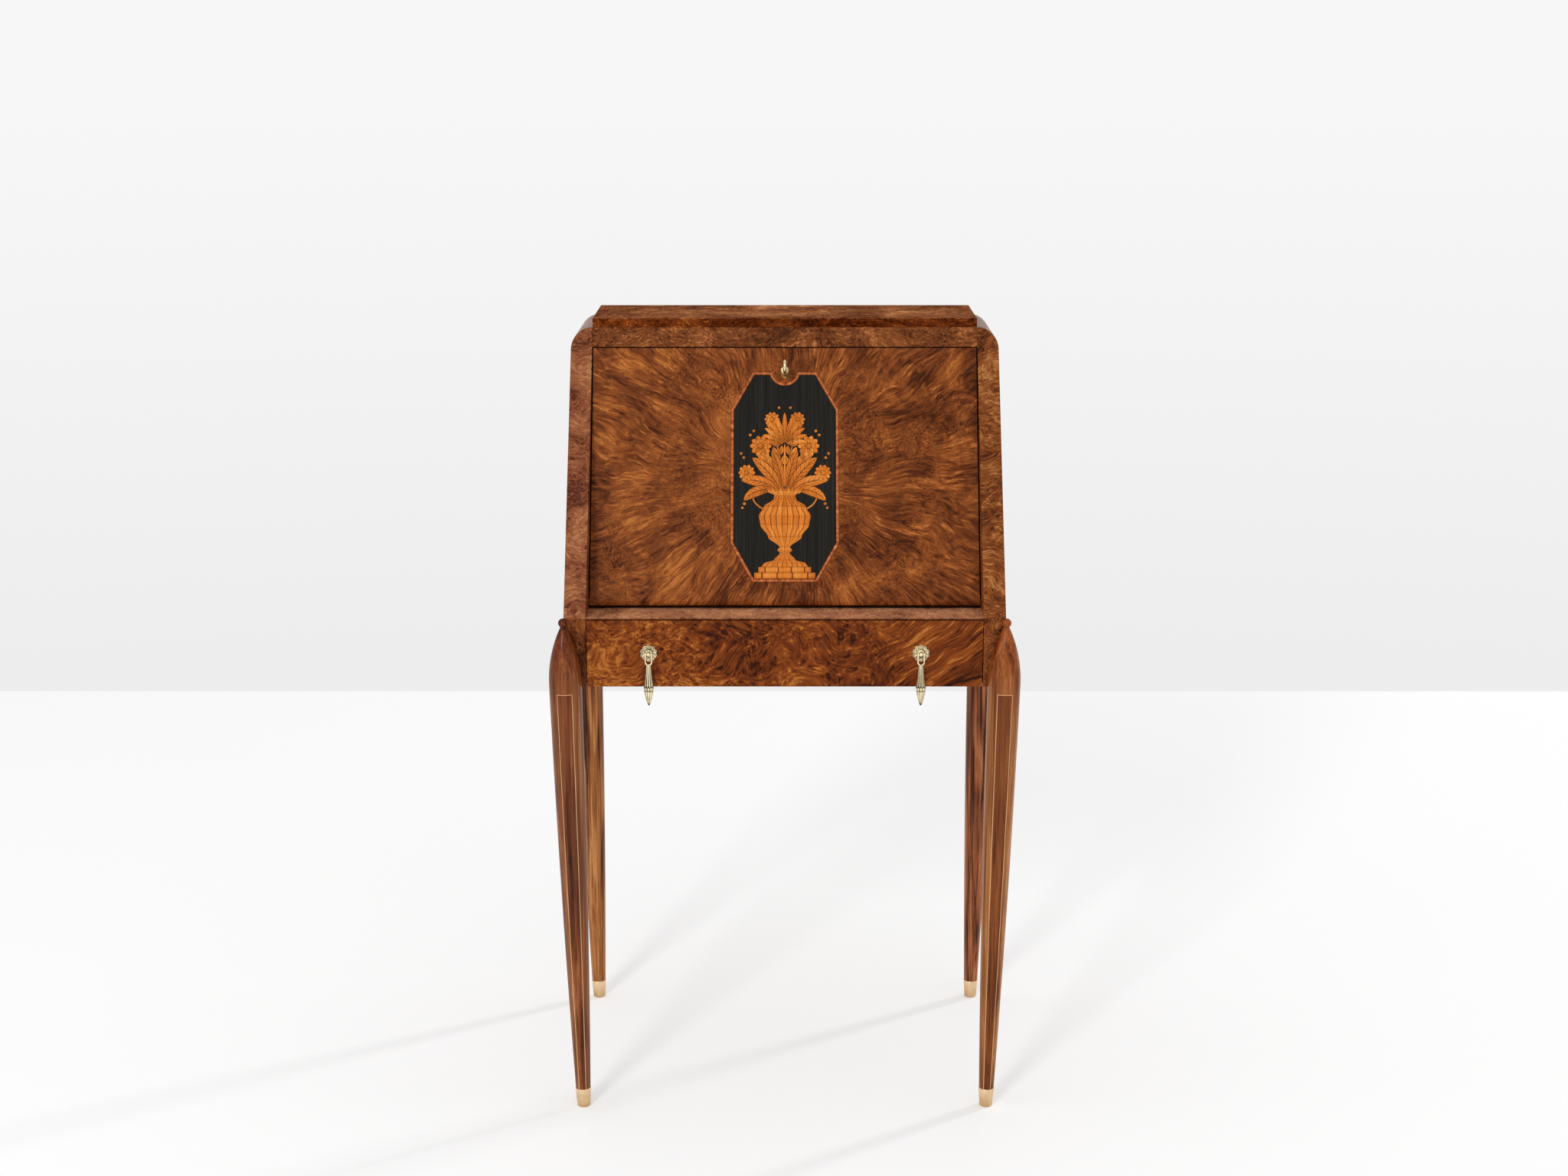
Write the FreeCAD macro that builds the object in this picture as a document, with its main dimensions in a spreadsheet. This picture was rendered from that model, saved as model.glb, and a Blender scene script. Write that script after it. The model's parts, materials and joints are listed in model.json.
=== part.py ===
import FreeCAD, Part

import math
import os

import Sketcher
from FreeCAD import Placement, Rotation, Vector

# A slant-front escritoire in walnut: a shallow base with one drawer on four turned legs, and above it
# a case whose two thick sides slant back on either side of a fall. The fall turns down on pivots at
# its foot until it lies on the ledge in front of it, and a lock in its top edge bolts it to the rail.
# Millimetres, +Z up, front towards -Y, origin on the floor under the middle of the desk.

SIZES = [
    ("case_width", 613, "over the two sides"),
    ("case_depth", 384, "front of the base to its back"),
    ("case_height", 1112, "floor to the top"),
    ("side_thickness", 30.5, "each side of base and case"),
    ("underside_height", 624, "floor to the underside of the base"),
    ("base_height", 98, "underside to the ledge"),
    ("base_back_thickness", 12, ""),
    ("base_floor_thickness", 6, "board under the drawer"),
    ("bed_thickness", 18, "board between drawer and desk"),
    ("bed_lip", 2, "thin front of the bed over the drawer front"),
    ("top_thickness", 13, ""),
    ("top_setback", 219, "front of the base to the front of the top"),
    ("sub_top_thickness", 16, "board under the top"),
    ("shoulder_radius", 29.5, "round of the sides at their top"),
    ("back_thickness", 8, "back panel of the case"),
    ("upper_rail_height", 26, "rail between fall and top"),
    ("upper_rail_depth", 24, ""),
    ("edge_round", 0.8, "softened edges of show boards"),
    ("pivot_setback", 66, "front of the base to the axis of the fall"),
    ("fall_thickness", 20, ""),
    ("fall_side_gap", 0.8, "each end of the fall to its side"),
    ("fall_end_gap", 0.8, "top of the fall to the rail"),
    ("fall_foot_gap", 0.5, "foot of the fall to the bed"),
    ("stop_thickness", 12, "strip that the closed fall rests on"),
    ("stop_height", 14, ""),
    ("stop_gap", 0.2, ""),
    ("pivot_radius", 2.5, ""),
    ("pivot_clearance", 0.05, "all round the pivot"),
    ("pivot_reach", 9, "pivot past the end of the fall"),
    ("pivot_spare", 2.5, "bore past the end of the pivot"),
    ("hinge_thickness", 2.5, "plates of the pivot hinges"),
    ("hinge_width", 13, ""),
    ("hinge_length", 42, ""),
    ("hinge_heel", 7, "plate behind the axis"),
    ("inlay_width", 154, "eight-sided panel over its banding"),
    ("inlay_top_margin", 36.5, "top of the fall to the panel"),
    ("inlay_foot_margin", 24, "axis of the fall to the panel"),
    ("inlay_corner_across", 31, "cut corner, across"),
    ("inlay_corner_share", 0.1814, "cut corner's share of the panel's height"),
    ("banding_width", 4.6, ""),
    ("notch_radius", 17.5, "round bay for the keyhole"),
    ("notch_rise", 1.5, "centre of the bay over the panel's edge"),
    ("veneer_depth", 1.2, "inlay, leather and keyhole plate"),
    ("leather_width", 470, "writing leather inside the fall"),
    ("leather_rise", 46, "axis of the fall to the leather"),
    ("leather_top_margin", 84, "leather to the top of the fall"),
    ("lock_width", 56, ""),
    ("lock_height", 56, ""),
    ("lock_thickness", 11.5, ""),
    ("lock_back", 2, "metal behind the end of the key"),
    ("key_drop", 37.5, "top of the fall to the keyhole"),
    ("key_radius", 2.5, ""),
    ("key_clearance", 0.4, ""),
    ("key_standoff", 24, "face of the fall to the bow"),
    ("key_collar_radius", 5.3, ""),
    ("key_collar_length", 5, ""),
    ("key_collar_gap", 8.5, "collar to the face of the fall"),
    ("bow_radius", 8, "middle of the ring"),
    ("bow_wire", 2.3, "half thickness of the ring"),
    ("bit_length", 5.6, "axis of the key to the end of its bit"),
    ("bit_thickness", 2, ""),
    ("bit_width", 5, ""),
    ("ward_radius", 8.4, "round hollow that the bit turns in"),
    ("bolt_width", 21.6, ""),
    ("bolt_thickness", 3.8, ""),
    ("bolt_length", 28, ""),
    ("bolt_throw", 7, ""),
    ("bolt_inset", 2.2, "middle of the fall to the bolt"),
    ("bolt_clearance", 0.3, ""),
    ("strike_width", 38, ""),
    ("strike_depth", 12, ""),
    ("strike_thickness", 1.5, ""),
    ("mortise_spare", 2, "mortise past the end of the thrown bolt"),
    ("eye_radius", 5.2, "round of the keyhole plate"),
    ("eye_hole_radius", 3.2, ""),
    ("tail_radius", 2.6, "lower end of the keyhole plate"),
    ("tail_drop", 6, "between the two rounds"),
    ("tail_slot", 2.8, "width of the keyhole's slot"),
    ("drawer_gap", 0.8, "round the drawer front"),
    ("drawer_foot_gap", 0.5, "foot of the drawer front over the underside"),
    ("drawer_front_thickness", 20, ""),
    ("drawer_side_thickness", 10, ""),
    ("drawer_bottom_thickness", 5, ""),
    ("drawer_bottom_rise", 4, ""),
    ("drawer_rear_gap", 52, "drawer box to the back of the base"),
    ("drawer_back_drop", 8, "back lower than the sides"),
    ("runner_width", 20, ""),
    ("runner_height", 4, ""),
    ("running_gap", 0.3, "moving wood over fixed wood"),
    ("pull_spacing", 378, "between the two pulls"),
    ("rosette_radius", 9.4, "disc under the petals"),
    ("rosette_thickness", 1.8, ""),
    ("petal_radius", 3.3, ""),
    ("petal_face_radius", 1.65, "petal at its face"),
    ("petal_thickness", 3, ""),
    ("petal_ring", 9, "middle of the rosette to a petal"),
    ("petal_count", 10, ""),
    ("boss_radius", 2.8, "stud in the middle of the rosette"),
    ("boss_length", 12.2, "face of the drawer to its end"),
    ("boss_flare", 1, "height over which the stem widens to the boss"),
    ("stud_radius", 2, "stem of the stud in the drawer front"),
    ("nut_radius", 4.5, ""),
    ("nut_thickness", 3, ""),
    ("pin_radius", 0.9, "cross pin of the pull"),
    ("pin_clearance", 0.05, ""),
    ("pin_standoff", 8.8, "face of the drawer to the pin"),
    ("bail_gap", 6.4, "inside the bail"),
    ("bail_wire", 1.1, "half thickness of the bail"),
    ("bail_depth", 16.5, "pin to the foot of the bail"),
    ("bail_eye_radius", 2.3, ""),
    ("drop_neck_radius", 3.3, ""),
    ("drop_flare_radius", 6.1, "drop above its ring"),
    ("drop_flare_depth", 47.3, "pin to the ring"),
    ("drop_ring_height", 5.5, ""),
    ("drop_ring_curve", 4.6, "round of the ring"),
    ("drop_acorn_radius", 6.6, "drop below its ring"),
    ("drop_acorn_curve", 50, ""),
    ("drop_tip_radius", 1.8, ""),
    ("drop_tip_depth", 71.3, "pin to the tip"),
    ("drop_tip_length", 1.8, "knob at the tip"),
    ("flute_count", 12, ""),
    ("flute_hollow", 0.4, "radius of a flute over that of the drop"),
    ("gallery_depth", 146, "fittings inside the desk"),
    ("gallery_share", 0.37, "shelf's share of the height inside the desk"),
    ("gallery_board", 8, ""),
    ("centre_bay_width", 190, ""),
    ("inner_drawer_share", 0.43, "drawer's share of the height under the shelf"),
    ("inner_drawer_depth", 136, ""),
    ("inner_drawer_wall", 6, ""),
    ("inner_drawer_gap", 0.5, ""),
    ("inner_knob_radius", 6, ""),
    ("inner_knob_neck", 2.6, ""),
    ("inner_knob_length", 13, ""),
    ("inner_knob_stem", 4.5, "straight part of its neck"),
    ("inner_knob_dome", 3, "rise of its round face"),
    ("leg_offset", 10, "leg axis outside the front and back"),
    ("front_foot_inset", 16, "outer side to the axis at the floor"),
    ("rear_foot_inset", 8.5, ""),
    ("rear_top_outset", 2, "rear leg axis outside the side at its top"),
    ("finial_drop", 3.5, "ledge to the middle of the ball"),
    ("finial_radius", 6.5, ""),
    ("finial_neck", 3.6, ""),
    ("neck_drop", 8.5, "middle of the ball to the top of the turned leg"),
    ("neck_radius", 5.2, ""),
    ("belly_rise", 8, "underside to the widest part of the leg"),
    ("belly_radius", 22.8, ""),
    ("taper_bulge", 1.9, "swell of the taper over a straight line"),
    ("sabot_height", 28, "brass shoe"),
    ("sabot_wall", 1.3, ""),
    ("sabot_lip", 0.8, "lip of the shoe past the leg"),
    ("sabot_trim", 0.5, "sole trimmed level with the floor"),
    ("sabot_sole", 4, ""),
    ("sabot_foot_radius", 9.3, ""),
    ("sabot_round", 2.5, "rounded edge under the foot"),
    ("ankle_radius", 10.6, "leg at the top of its shoe"),
    ("dowel_radius", 4, "dowels from leg to base"),
    ("dowel_length", 32, ""),
    ("dowel_depth", 14, "length of a dowel in the leg"),
    ("dowel_rise", 15, "underside of the base to the first dowel"),
    ("dowel_pitch", 22, ""),
    ("dowel_inset", 12, "outer face of the base to the dowels"),
]


def spelled(number):
    """A plain number as expression text."""
    return f"({float(number):.6f})"


class Measure:
    """A size with its formula: the number it has now and the expression in sheet cells behind it."""

    def __init__(self, value, formula=None):
        self.value = float(value)
        self.formula = formula or spelled(value)

    def joined(self, sign, other, value):
        return Measure(value, f"({self.formula} {sign} {other.formula})")

    def __add__(self, other):
        other = measure(other)
        return self.joined("+", other, self.value + other.value)

    def __sub__(self, other):
        other = measure(other)
        return self.joined("-", other, self.value - other.value)

    def __mul__(self, other):
        other = measure(other)
        return self.joined("*", other, self.value * other.value)

    def __truediv__(self, other):
        other = measure(other)
        return self.joined("/", other, self.value / other.value)

    def __radd__(self, other):
        return measure(other) + self

    def __rsub__(self, other):
        return measure(other) - self

    def __rmul__(self, other):
        return measure(other) * self

    def __neg__(self):
        return measure(0) - self


def measure(item):
    return item if isinstance(item, Measure) else Measure(item)


def root(item):
    return Measure(math.sqrt(item.value), f"sqrt({item.formula})")


def arctangent(item):
    return Measure(math.degrees(math.atan(item.value)), f"atan({item.formula})")


def arcsine(item):
    return Measure(math.degrees(math.asin(item.value)), f"asin({item.formula})")


def sine(angle):
    return Measure(math.sin(math.radians(angle.value)), f"sin({angle.formula})")


def cosine(angle):
    return Measure(math.cos(math.radians(angle.value)), f"cos({angle.formula})")


doc = FreeCAD.newDocument("escritoire")
sheet = doc.addObject("Spreadsheet::Sheet", "Sizes")
for row, (alias, millimetres, note) in enumerate(SIZES, start=1):
    sheet.set(f"A{row}", alias)
    sheet.set(f"B{row}", str(millimetres))
    sheet.set(f"C{row}", note)
    sheet.setAlias(f"B{row}", alias)
doc.recompute()

size = {alias: Measure(millimetres, f"Sizes.{alias}") for alias, millimetres, note in SIZES}
pieces = []

ACROSS = Vector(1, 0, 0)
BACKWARD = Vector(0, 1, 0)
LEAN_BACK = Vector(-1, 0, 0)
QUARTER = Measure(90, "90 deg")
TOUCH = 0.01

half_width = size["case_width"] / 2
inner_half = half_width - size["side_thickness"]
inner_width = size["case_width"] - 2 * size["side_thickness"]
front = -size["case_depth"] / 2
back = size["case_depth"] / 2
bed_top = size["underside_height"] + size["base_height"]
shoulder_top = size["case_height"] - size["top_thickness"]
upper_height = shoulder_top - bed_top
side_slope = size["top_setback"] / upper_height
finial_height = bed_top - size["finial_drop"]
neck_height = finial_height - size["neck_drop"]
belly_height = size["underside_height"] + size["belly_rise"]
shelf_height = upper_height * size["gallery_share"]
inner_drawer_height = shelf_height * size["inner_drawer_share"]

# The fall's frame: its axis, the line on the slanted sides where its top comes flush, and its lean.
fall_half_thickness = size["fall_thickness"] / 2
pivot_y = front + size["pivot_setback"]
pivot_z = bed_top + size["fall_foot_gap"] + fall_half_thickness
rail_foot_z = shoulder_top - size["upper_rail_height"]
rail_foot_y = front + side_slope * (rail_foot_z - bed_top)
reach_y = rail_foot_y - pivot_y
reach_z = rail_foot_z - pivot_z
reach = root(reach_y * reach_y + reach_z * reach_z)
lean = arctangent(reach_y / reach_z) + arcsine(fall_half_thickness / reach)
rail_line = root(reach * reach - fall_half_thickness * fall_half_thickness)
fall_top = rail_line - size["fall_end_gap"]
fall_half_width = inner_half - size["fall_side_gap"]
key_line = fall_top - size["key_drop"]


def on_fall(across, inward, up):
    """A point of the fall's frame: inward from its mid-thickness, up from its axis."""
    y = pivot_y + inward * cosine(lean) + up * sine(lean)
    z = pivot_z - inward * sine(lean) + up * cosine(lean)
    return (across, y, z)


def tie(item, prop, amount):
    """Binds a property to the formula of a size."""
    item.setExpression(prop, measure(amount).formula)


def place(item, point, axis=None, angle=None):
    """Puts an object at a point, turned about an axis where one is given."""
    x, y, z = (measure(part) for part in point)
    turn = Rotation(axis, measure(angle).value) if axis else Rotation()
    item.Placement = Placement(Vector(x.value, y.value, z.value), turn)
    tie(item, "Placement.Base.x", x)
    tie(item, "Placement.Base.y", y)
    tie(item, "Placement.Base.z", z)
    if axis:
        tie(item, "Placement.Rotation.Angle", angle)


def keep(item, label):
    """Names a finished sub-part and lists it."""
    item.Label = label
    pieces.append(item)
    return item


def board(name, extent, corner, axis=None, angle=None):
    """A plain board: extent along X, Y and Z from its low corner."""
    item = doc.addObject("Part::Box", name)
    for prop, amount in zip(("Length", "Width", "Height"), extent):
        tie(item, prop, amount)
    place(item, corner, axis, angle)
    return item


def fall_board(name, extent, corner):
    """A board square to the fall: extent across, inward and up from its low corner."""
    return board(name, extent, on_fall(*corner), LEAN_BACK, lean)


def rod(name, radius, length, start, axis=None, angle=None):
    """A round bar along +Z from start, or along the direction that the turn gives."""
    item = doc.addObject("Part::Cylinder", name)
    tie(item, "Radius", radius)
    tie(item, "Height", length)
    place(item, start, axis, angle)
    return item


def cut(name, base, *tools):
    """What is left of base after each tool is taken out of it."""
    item = base
    for number, tool in enumerate(tools, start=1):
        step = doc.addObject("Part::Cut", f"{name}_{number}")
        step.Base = item
        step.Tool = tool
        item = step
    return item


def fuse(name, *solids):
    item = doc.addObject("Part::MultiFuse", name)
    item.Shapes = list(solids)
    return item


def group(name, *solids):
    item = doc.addObject("Part::Compound", name)
    item.Links = list(solids)
    return item


def mirrored(name, source):
    """The same piece on the other side of the desk."""
    item = doc.addObject("Part::Mirroring", name)
    item.Source = source
    item.Normal = ACROSS
    return item


def dome_radius(half, rise):
    """The radius of a dome of that half width and rise, level at its top."""
    return (half * half + rise * rise) / (2 * rise)


def new_body(name):
    return doc.addObject("PartDesign::Body", name)


def new_sketch(body, role, offset=None):
    """A sketch on one of the body's own planes, moved along the plane's normal by offset."""
    sketch = body.newObject("Sketcher::SketchObject", f"{body.Name}_sketch")
    plane = next(item for item in body.Origin.OriginFeatures if item.Role == role)
    sketch.AttachmentSupport = [(plane, "")]
    sketch.MapMode = "FlatFace"
    if offset is not None:
        tie(sketch, "AttachmentOffset.Base.z", offset)
    return sketch


def arc_between(start, end, radius):
    """The short arc from start to end; a positive radius has its centre on the left of the way."""
    chord = end - start
    left = Vector(-chord.y, chord.x, 0).normalize()
    height = math.sqrt(radius * radius - chord.Length * chord.Length / 4)
    centre = (start + end) * 0.5 + left * math.copysign(height, radius)
    first, last = (start, end) if radius > 0 else (end, start)
    angles = [math.atan2(point.y - centre.y, point.x - centre.x) for point in (first, last)]
    circle = Part.Circle(centre, Vector(0, 0, 1), abs(radius))
    return Part.ArcOfCircle(circle, angles[0], angles[1])


def outline(sketch, corners, arcs=None):
    """A closed outline through corners, each held by its two distances from the origin.

    arcs gives the radius of the span that starts at a corner, negative where its centre is on the right.
    """
    arcs = arcs or {}
    corners = [(measure(x), measure(y)) for x, y in corners]
    points = [Vector(x.value, y.value, 0) for x, y in corners]
    spans = []
    for index, start in enumerate(points):
        end = points[(index + 1) % len(points)]
        radius = arcs.get(index)
        if radius is None:
            spans.append((sketch.addGeometry(Part.LineSegment(start, end)), 1, 2))
        else:
            geometry = sketch.addGeometry(arc_between(start, end, radius.value))
            spans.append((geometry, 1, 2) if radius.value > 0 else (geometry, 2, 1))
            bound = sketch.addConstraint(Sketcher.Constraint("Radius", geometry, abs(radius.value)))
            tie(sketch, f"Constraints[{bound}]", radius if radius.value > 0 else -radius)
    for index, (geometry, head, tail) in enumerate(spans):
        following, following_head, following_tail = spans[(index + 1) % len(spans)]
        sketch.addConstraint(Sketcher.Constraint("Coincident", geometry, tail, following, following_head))
    for (geometry, head, tail), (x, y) in zip(spans, corners):
        for kind, amount in (("DistanceX", x), ("DistanceY", y)):
            held = sketch.addConstraint(Sketcher.Constraint(kind, -1, 1, geometry, head, amount.value))
            tie(sketch, f"Constraints[{held}]", amount)


def pad(body, sketch, length, symmetric=False):
    feature = body.newObject("PartDesign::Pad", f"{body.Name}_pad")
    feature.Profile = sketch
    feature.SideType = "Symmetric" if symmetric else "One side"
    tie(feature, "Length", length)
    return feature


def revolve(body, sketch):
    """Turns a sketch about its own vertical axis."""
    feature = body.newObject("PartDesign::Revolution", f"{body.Name}_turning")
    feature.Profile = sketch
    feature.ReferenceAxis = (sketch, ["V_Axis"])
    feature.Angle = 360
    return feature


def soften(body, feature, radius, wanted):
    """Rounds the edges of a feature whose middle passes the test."""
    doc.recompute()
    names = []
    for number, edge in enumerate(feature.Shape.Edges, start=1):
        if wanted(edge.CenterOfMass):
            names.append(f"Edge{number}")
    fillet = body.newObject("PartDesign::Fillet", f"{body.Name}_round")
    fillet.Base = (feature, names)
    tie(fillet, "Radius", radius)
    return fillet


def soft_board(name, extent, corner):
    """A show board with all its edges softened."""
    body = new_body(name)
    block = body.newObject("PartDesign::AdditiveBox", f"{name}_block")
    for prop, amount in zip(("Length", "Width", "Height"), extent):
        tie(block, prop, amount)
    soften(body, block, size["edge_round"], lambda middle: True)
    place(body, corner)
    return body


def polar(body, feature, role, count):
    """Repeats a feature round one of the body's own axes."""
    pattern = body.newObject("PartDesign::PolarPattern", f"{feature.Name}_ring")
    pattern.Originals = [feature]
    pattern.Axis = (next(item for item in body.Origin.OriginFeatures if item.Role == role), [""])
    pattern.Angle = 360
    tie(pattern, "Occurrences", count)
    body.Tip = pattern
    return pattern


def turned_leg_body(name):
    """One turned leg: peg in the shoe, swelling taper, pointed shoulder, collar and ball."""
    peg_radius = size["ankle_radius"] - size["sabot_wall"]
    taper_rise = belly_height - size["sabot_height"]
    taper_gain = size["belly_radius"] - size["ankle_radius"]
    taper_chord = taper_rise * taper_rise + taper_gain * taper_gain
    taper_curve = taper_chord / (8 * size["taper_bulge"]) + size["taper_bulge"] / 2
    shoulder_rise = neck_height - belly_height
    shoulder_loss = size["belly_radius"] - size["neck_radius"]
    shoulder_curve = (shoulder_rise * shoulder_rise + shoulder_loss * shoulder_loss) / (2 * shoulder_loss)
    ball_reach = size["finial_radius"] * size["finial_radius"] - size["finial_neck"] * size["finial_neck"]
    ball_foot = finial_height - root(ball_reach)
    ball_top = finial_height + size["finial_radius"]
    body = new_body(name)
    corners = [
        (0, size["sabot_sole"]),
        (peg_radius, size["sabot_sole"]),
        (peg_radius, size["sabot_height"]),
        (size["ankle_radius"], size["sabot_height"]),
        (size["belly_radius"], belly_height),
        (size["neck_radius"], neck_height),
        (size["finial_neck"], ball_foot),
        (size["finial_radius"], finial_height),
        (0, ball_top),
    ]
    arcs = {3: taper_curve, 4: shoulder_curve, 6: size["finial_radius"], 7: size["finial_radius"]}
    sketch = new_sketch(body, "XZ_Plane")
    outline(sketch, corners, arcs)
    revolve(body, sketch)
    return body


def sabot_body(name):
    """A brass shoe: a cup that takes the peg of the leg, with a rounded foot."""
    peg_radius = size["ankle_radius"] - size["sabot_wall"]
    lip_radius = size["ankle_radius"] + size["sabot_lip"]
    body = new_body(name)
    corners = [
        (0, -size["sabot_trim"]),
        (size["sabot_foot_radius"] - size["sabot_round"], -size["sabot_trim"]),
        (size["sabot_foot_radius"], size["sabot_round"] - size["sabot_trim"]),
        (lip_radius, size["sabot_height"]),
        (peg_radius, size["sabot_height"]),
        (peg_radius, size["sabot_sole"]),
        (0, size["sabot_sole"]),
    ]
    sketch = new_sketch(body, "XZ_Plane")
    outline(sketch, corners, {1: size["sabot_round"]})
    revolve(body, sketch)
    return body


def make_legs():
    """Four legs round the corners of the base, each with its shoe and two dowels."""
    block_height = finial_height - size["underside_height"]
    block_extent = (size["case_width"], size["case_depth"], block_height)
    dowels = {"left": [], "right": []}
    for end, level, towards in (("front", front, -1), ("rear", back, 1)):
        axis_y = level + towards * size["leg_offset"]
        top_outset = size["rear_top_outset"] if end == "rear" else Measure(0)
        foot_inset = size[f"{end}_foot_inset"]
        splay = arctangent((top_outset + foot_inset) / finial_height)
        for hand, sign in (("left", -1), ("right", 1)):
            label = f"{end}_{hand}_leg"
            foot = (sign * (half_width - foot_inset), axis_y, 0)
            outward = Vector(0, sign, 0)
            turning = turned_leg_body(f"{label}_turning")
            place(turning, foot, outward, splay)
            corner = board(f"{label}_corner", block_extent, (-half_width, front, size["underside_height"]))
            tools = [corner]
            for number in range(2):
                rise = size["underside_height"] + size["dowel_rise"] + number * size["dowel_pitch"]
                low_y = level - size["dowel_depth"] if end == "front" else level + size["dowel_depth"]
                low_y = low_y if end == "front" else low_y - size["dowel_length"]
                start = (sign * (half_width - size["dowel_inset"]), low_y, rise)
                dowel = rod(f"{label}_dowel", size["dowel_radius"], size["dowel_length"], start, LEAN_BACK,
                            QUARTER)
                dowels[hand].append(dowel)
                tools.append(dowel)
            keep(cut(label, turning, *tools), label)
            shoe = sabot_body(f"{end}_{hand}_sabot_turning")
            place(shoe, foot, outward, splay)
            ground_span = 4 * size["sabot_foot_radius"]
            ground_corner = (foot[0] - ground_span / 2, axis_y - ground_span / 2, -ground_span)
            ground = board(f"{label}_ground", (ground_span, ground_span, ground_span), ground_corner)
            keep(cut(f"{end}_{hand}_sabot", shoe, ground), f"{end}_{hand}_sabot")
    keep(group("dowel_set", *dowels["left"], *dowels["right"]), "leg_dowels")
    return dowels


def make_base(dowels):
    """The shallow base: two sides, back, floor and runners, and the bed that forms the ledge."""
    side_extent = (size["side_thickness"], size["case_depth"], size["base_height"])
    left = soft_board("base_left", side_extent, (-half_width, front, size["underside_height"]))
    right = soft_board("base_right", side_extent, (inner_half, front, size["underside_height"]))
    keep(cut("base_left_side", left, *dowels["left"]), "base_left_side")
    keep(cut("base_right_side", right, *dowels["right"]), "base_right_side")
    back_extent = (inner_width, size["base_back_thickness"], size["base_height"])
    back_corner = (-inner_half, back - size["base_back_thickness"], size["underside_height"])
    keep(board("base_back", back_extent, back_corner), "base_back")
    rebate = size["drawer_front_thickness"] + size["drawer_gap"]
    run = size["case_depth"] - size["base_back_thickness"] - rebate
    floor_corner = (-inner_half, front + rebate, size["underside_height"])
    keep(board("base_floor", (inner_width, run, size["base_floor_thickness"]), floor_corner), "base_floor")
    runner_extent = (size["runner_width"], run, size["runner_height"])
    runner_z = size["underside_height"] + size["base_floor_thickness"]
    runner = board("left_runner", runner_extent, (-inner_half, front + rebate, runner_z))
    keep(group("runner_set", runner, mirrored("right_runner", runner)), "drawer_runners")
    bed = new_body("bed")
    bed_run = size["case_depth"] - size["base_back_thickness"]
    lip_foot = size["bed_thickness"] - size["bed_lip"]
    corners = [
        (rebate, 0),
        (bed_run, 0),
        (bed_run, size["bed_thickness"]),
        (0, size["bed_thickness"]),
        (0, lip_foot),
        (rebate, lip_foot),
    ]
    sketch = new_sketch(bed, "YZ_Plane")
    outline(sketch, corners)
    pad(bed, sketch, inner_width)
    place(bed, (-inner_half, front, bed_top - size["bed_thickness"]))
    keep(bed, "writing_bed")


def hinge_strip(name, start):
    """A long strip along the end of the fall, with its heel behind the axis."""
    extent = (size["hinge_thickness"], size["hinge_width"], size["hinge_length"])
    return fall_board(f"{name}_strip", extent, (start, -size["hinge_width"] / 2, -size["hinge_heel"]))


def make_hinges():
    """Pivot hinges: a plate with its pivot let into each side, and a bored plate in each end of the fall."""
    plate = hinge_strip("side", -inner_half - size["hinge_thickness"])
    pivot_length = size["fall_side_gap"] + size["pivot_reach"]
    pivot_start = (-inner_half, pivot_y, pivot_z)
    pivot = rod("pivot", size["pivot_radius"], pivot_length, pivot_start, BACKWARD, QUARTER)
    left_plate = keep(fuse("left_side_hinge", plate, pivot), "left_hinge_plate")
    keep(mirrored("right_side_hinge", left_plate), "right_hinge_plate")
    leaf = hinge_strip("fall", -fall_half_width)
    bore_radius = size["pivot_radius"] + size["pivot_clearance"]
    bore_depth = size["pivot_reach"] + size["pivot_spare"]
    bore_start = (-fall_half_width, pivot_y, pivot_z)
    bore = rod("pivot_bore", bore_radius, bore_depth, bore_start, BACKWARD, QUARTER)
    left_leaf = keep(cut("left_fall_hinge", leaf, bore), "left_hinge_leaf")
    keep(mirrored("right_fall_hinge", left_leaf), "right_hinge_leaf")
    return plate, leaf, bore


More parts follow.
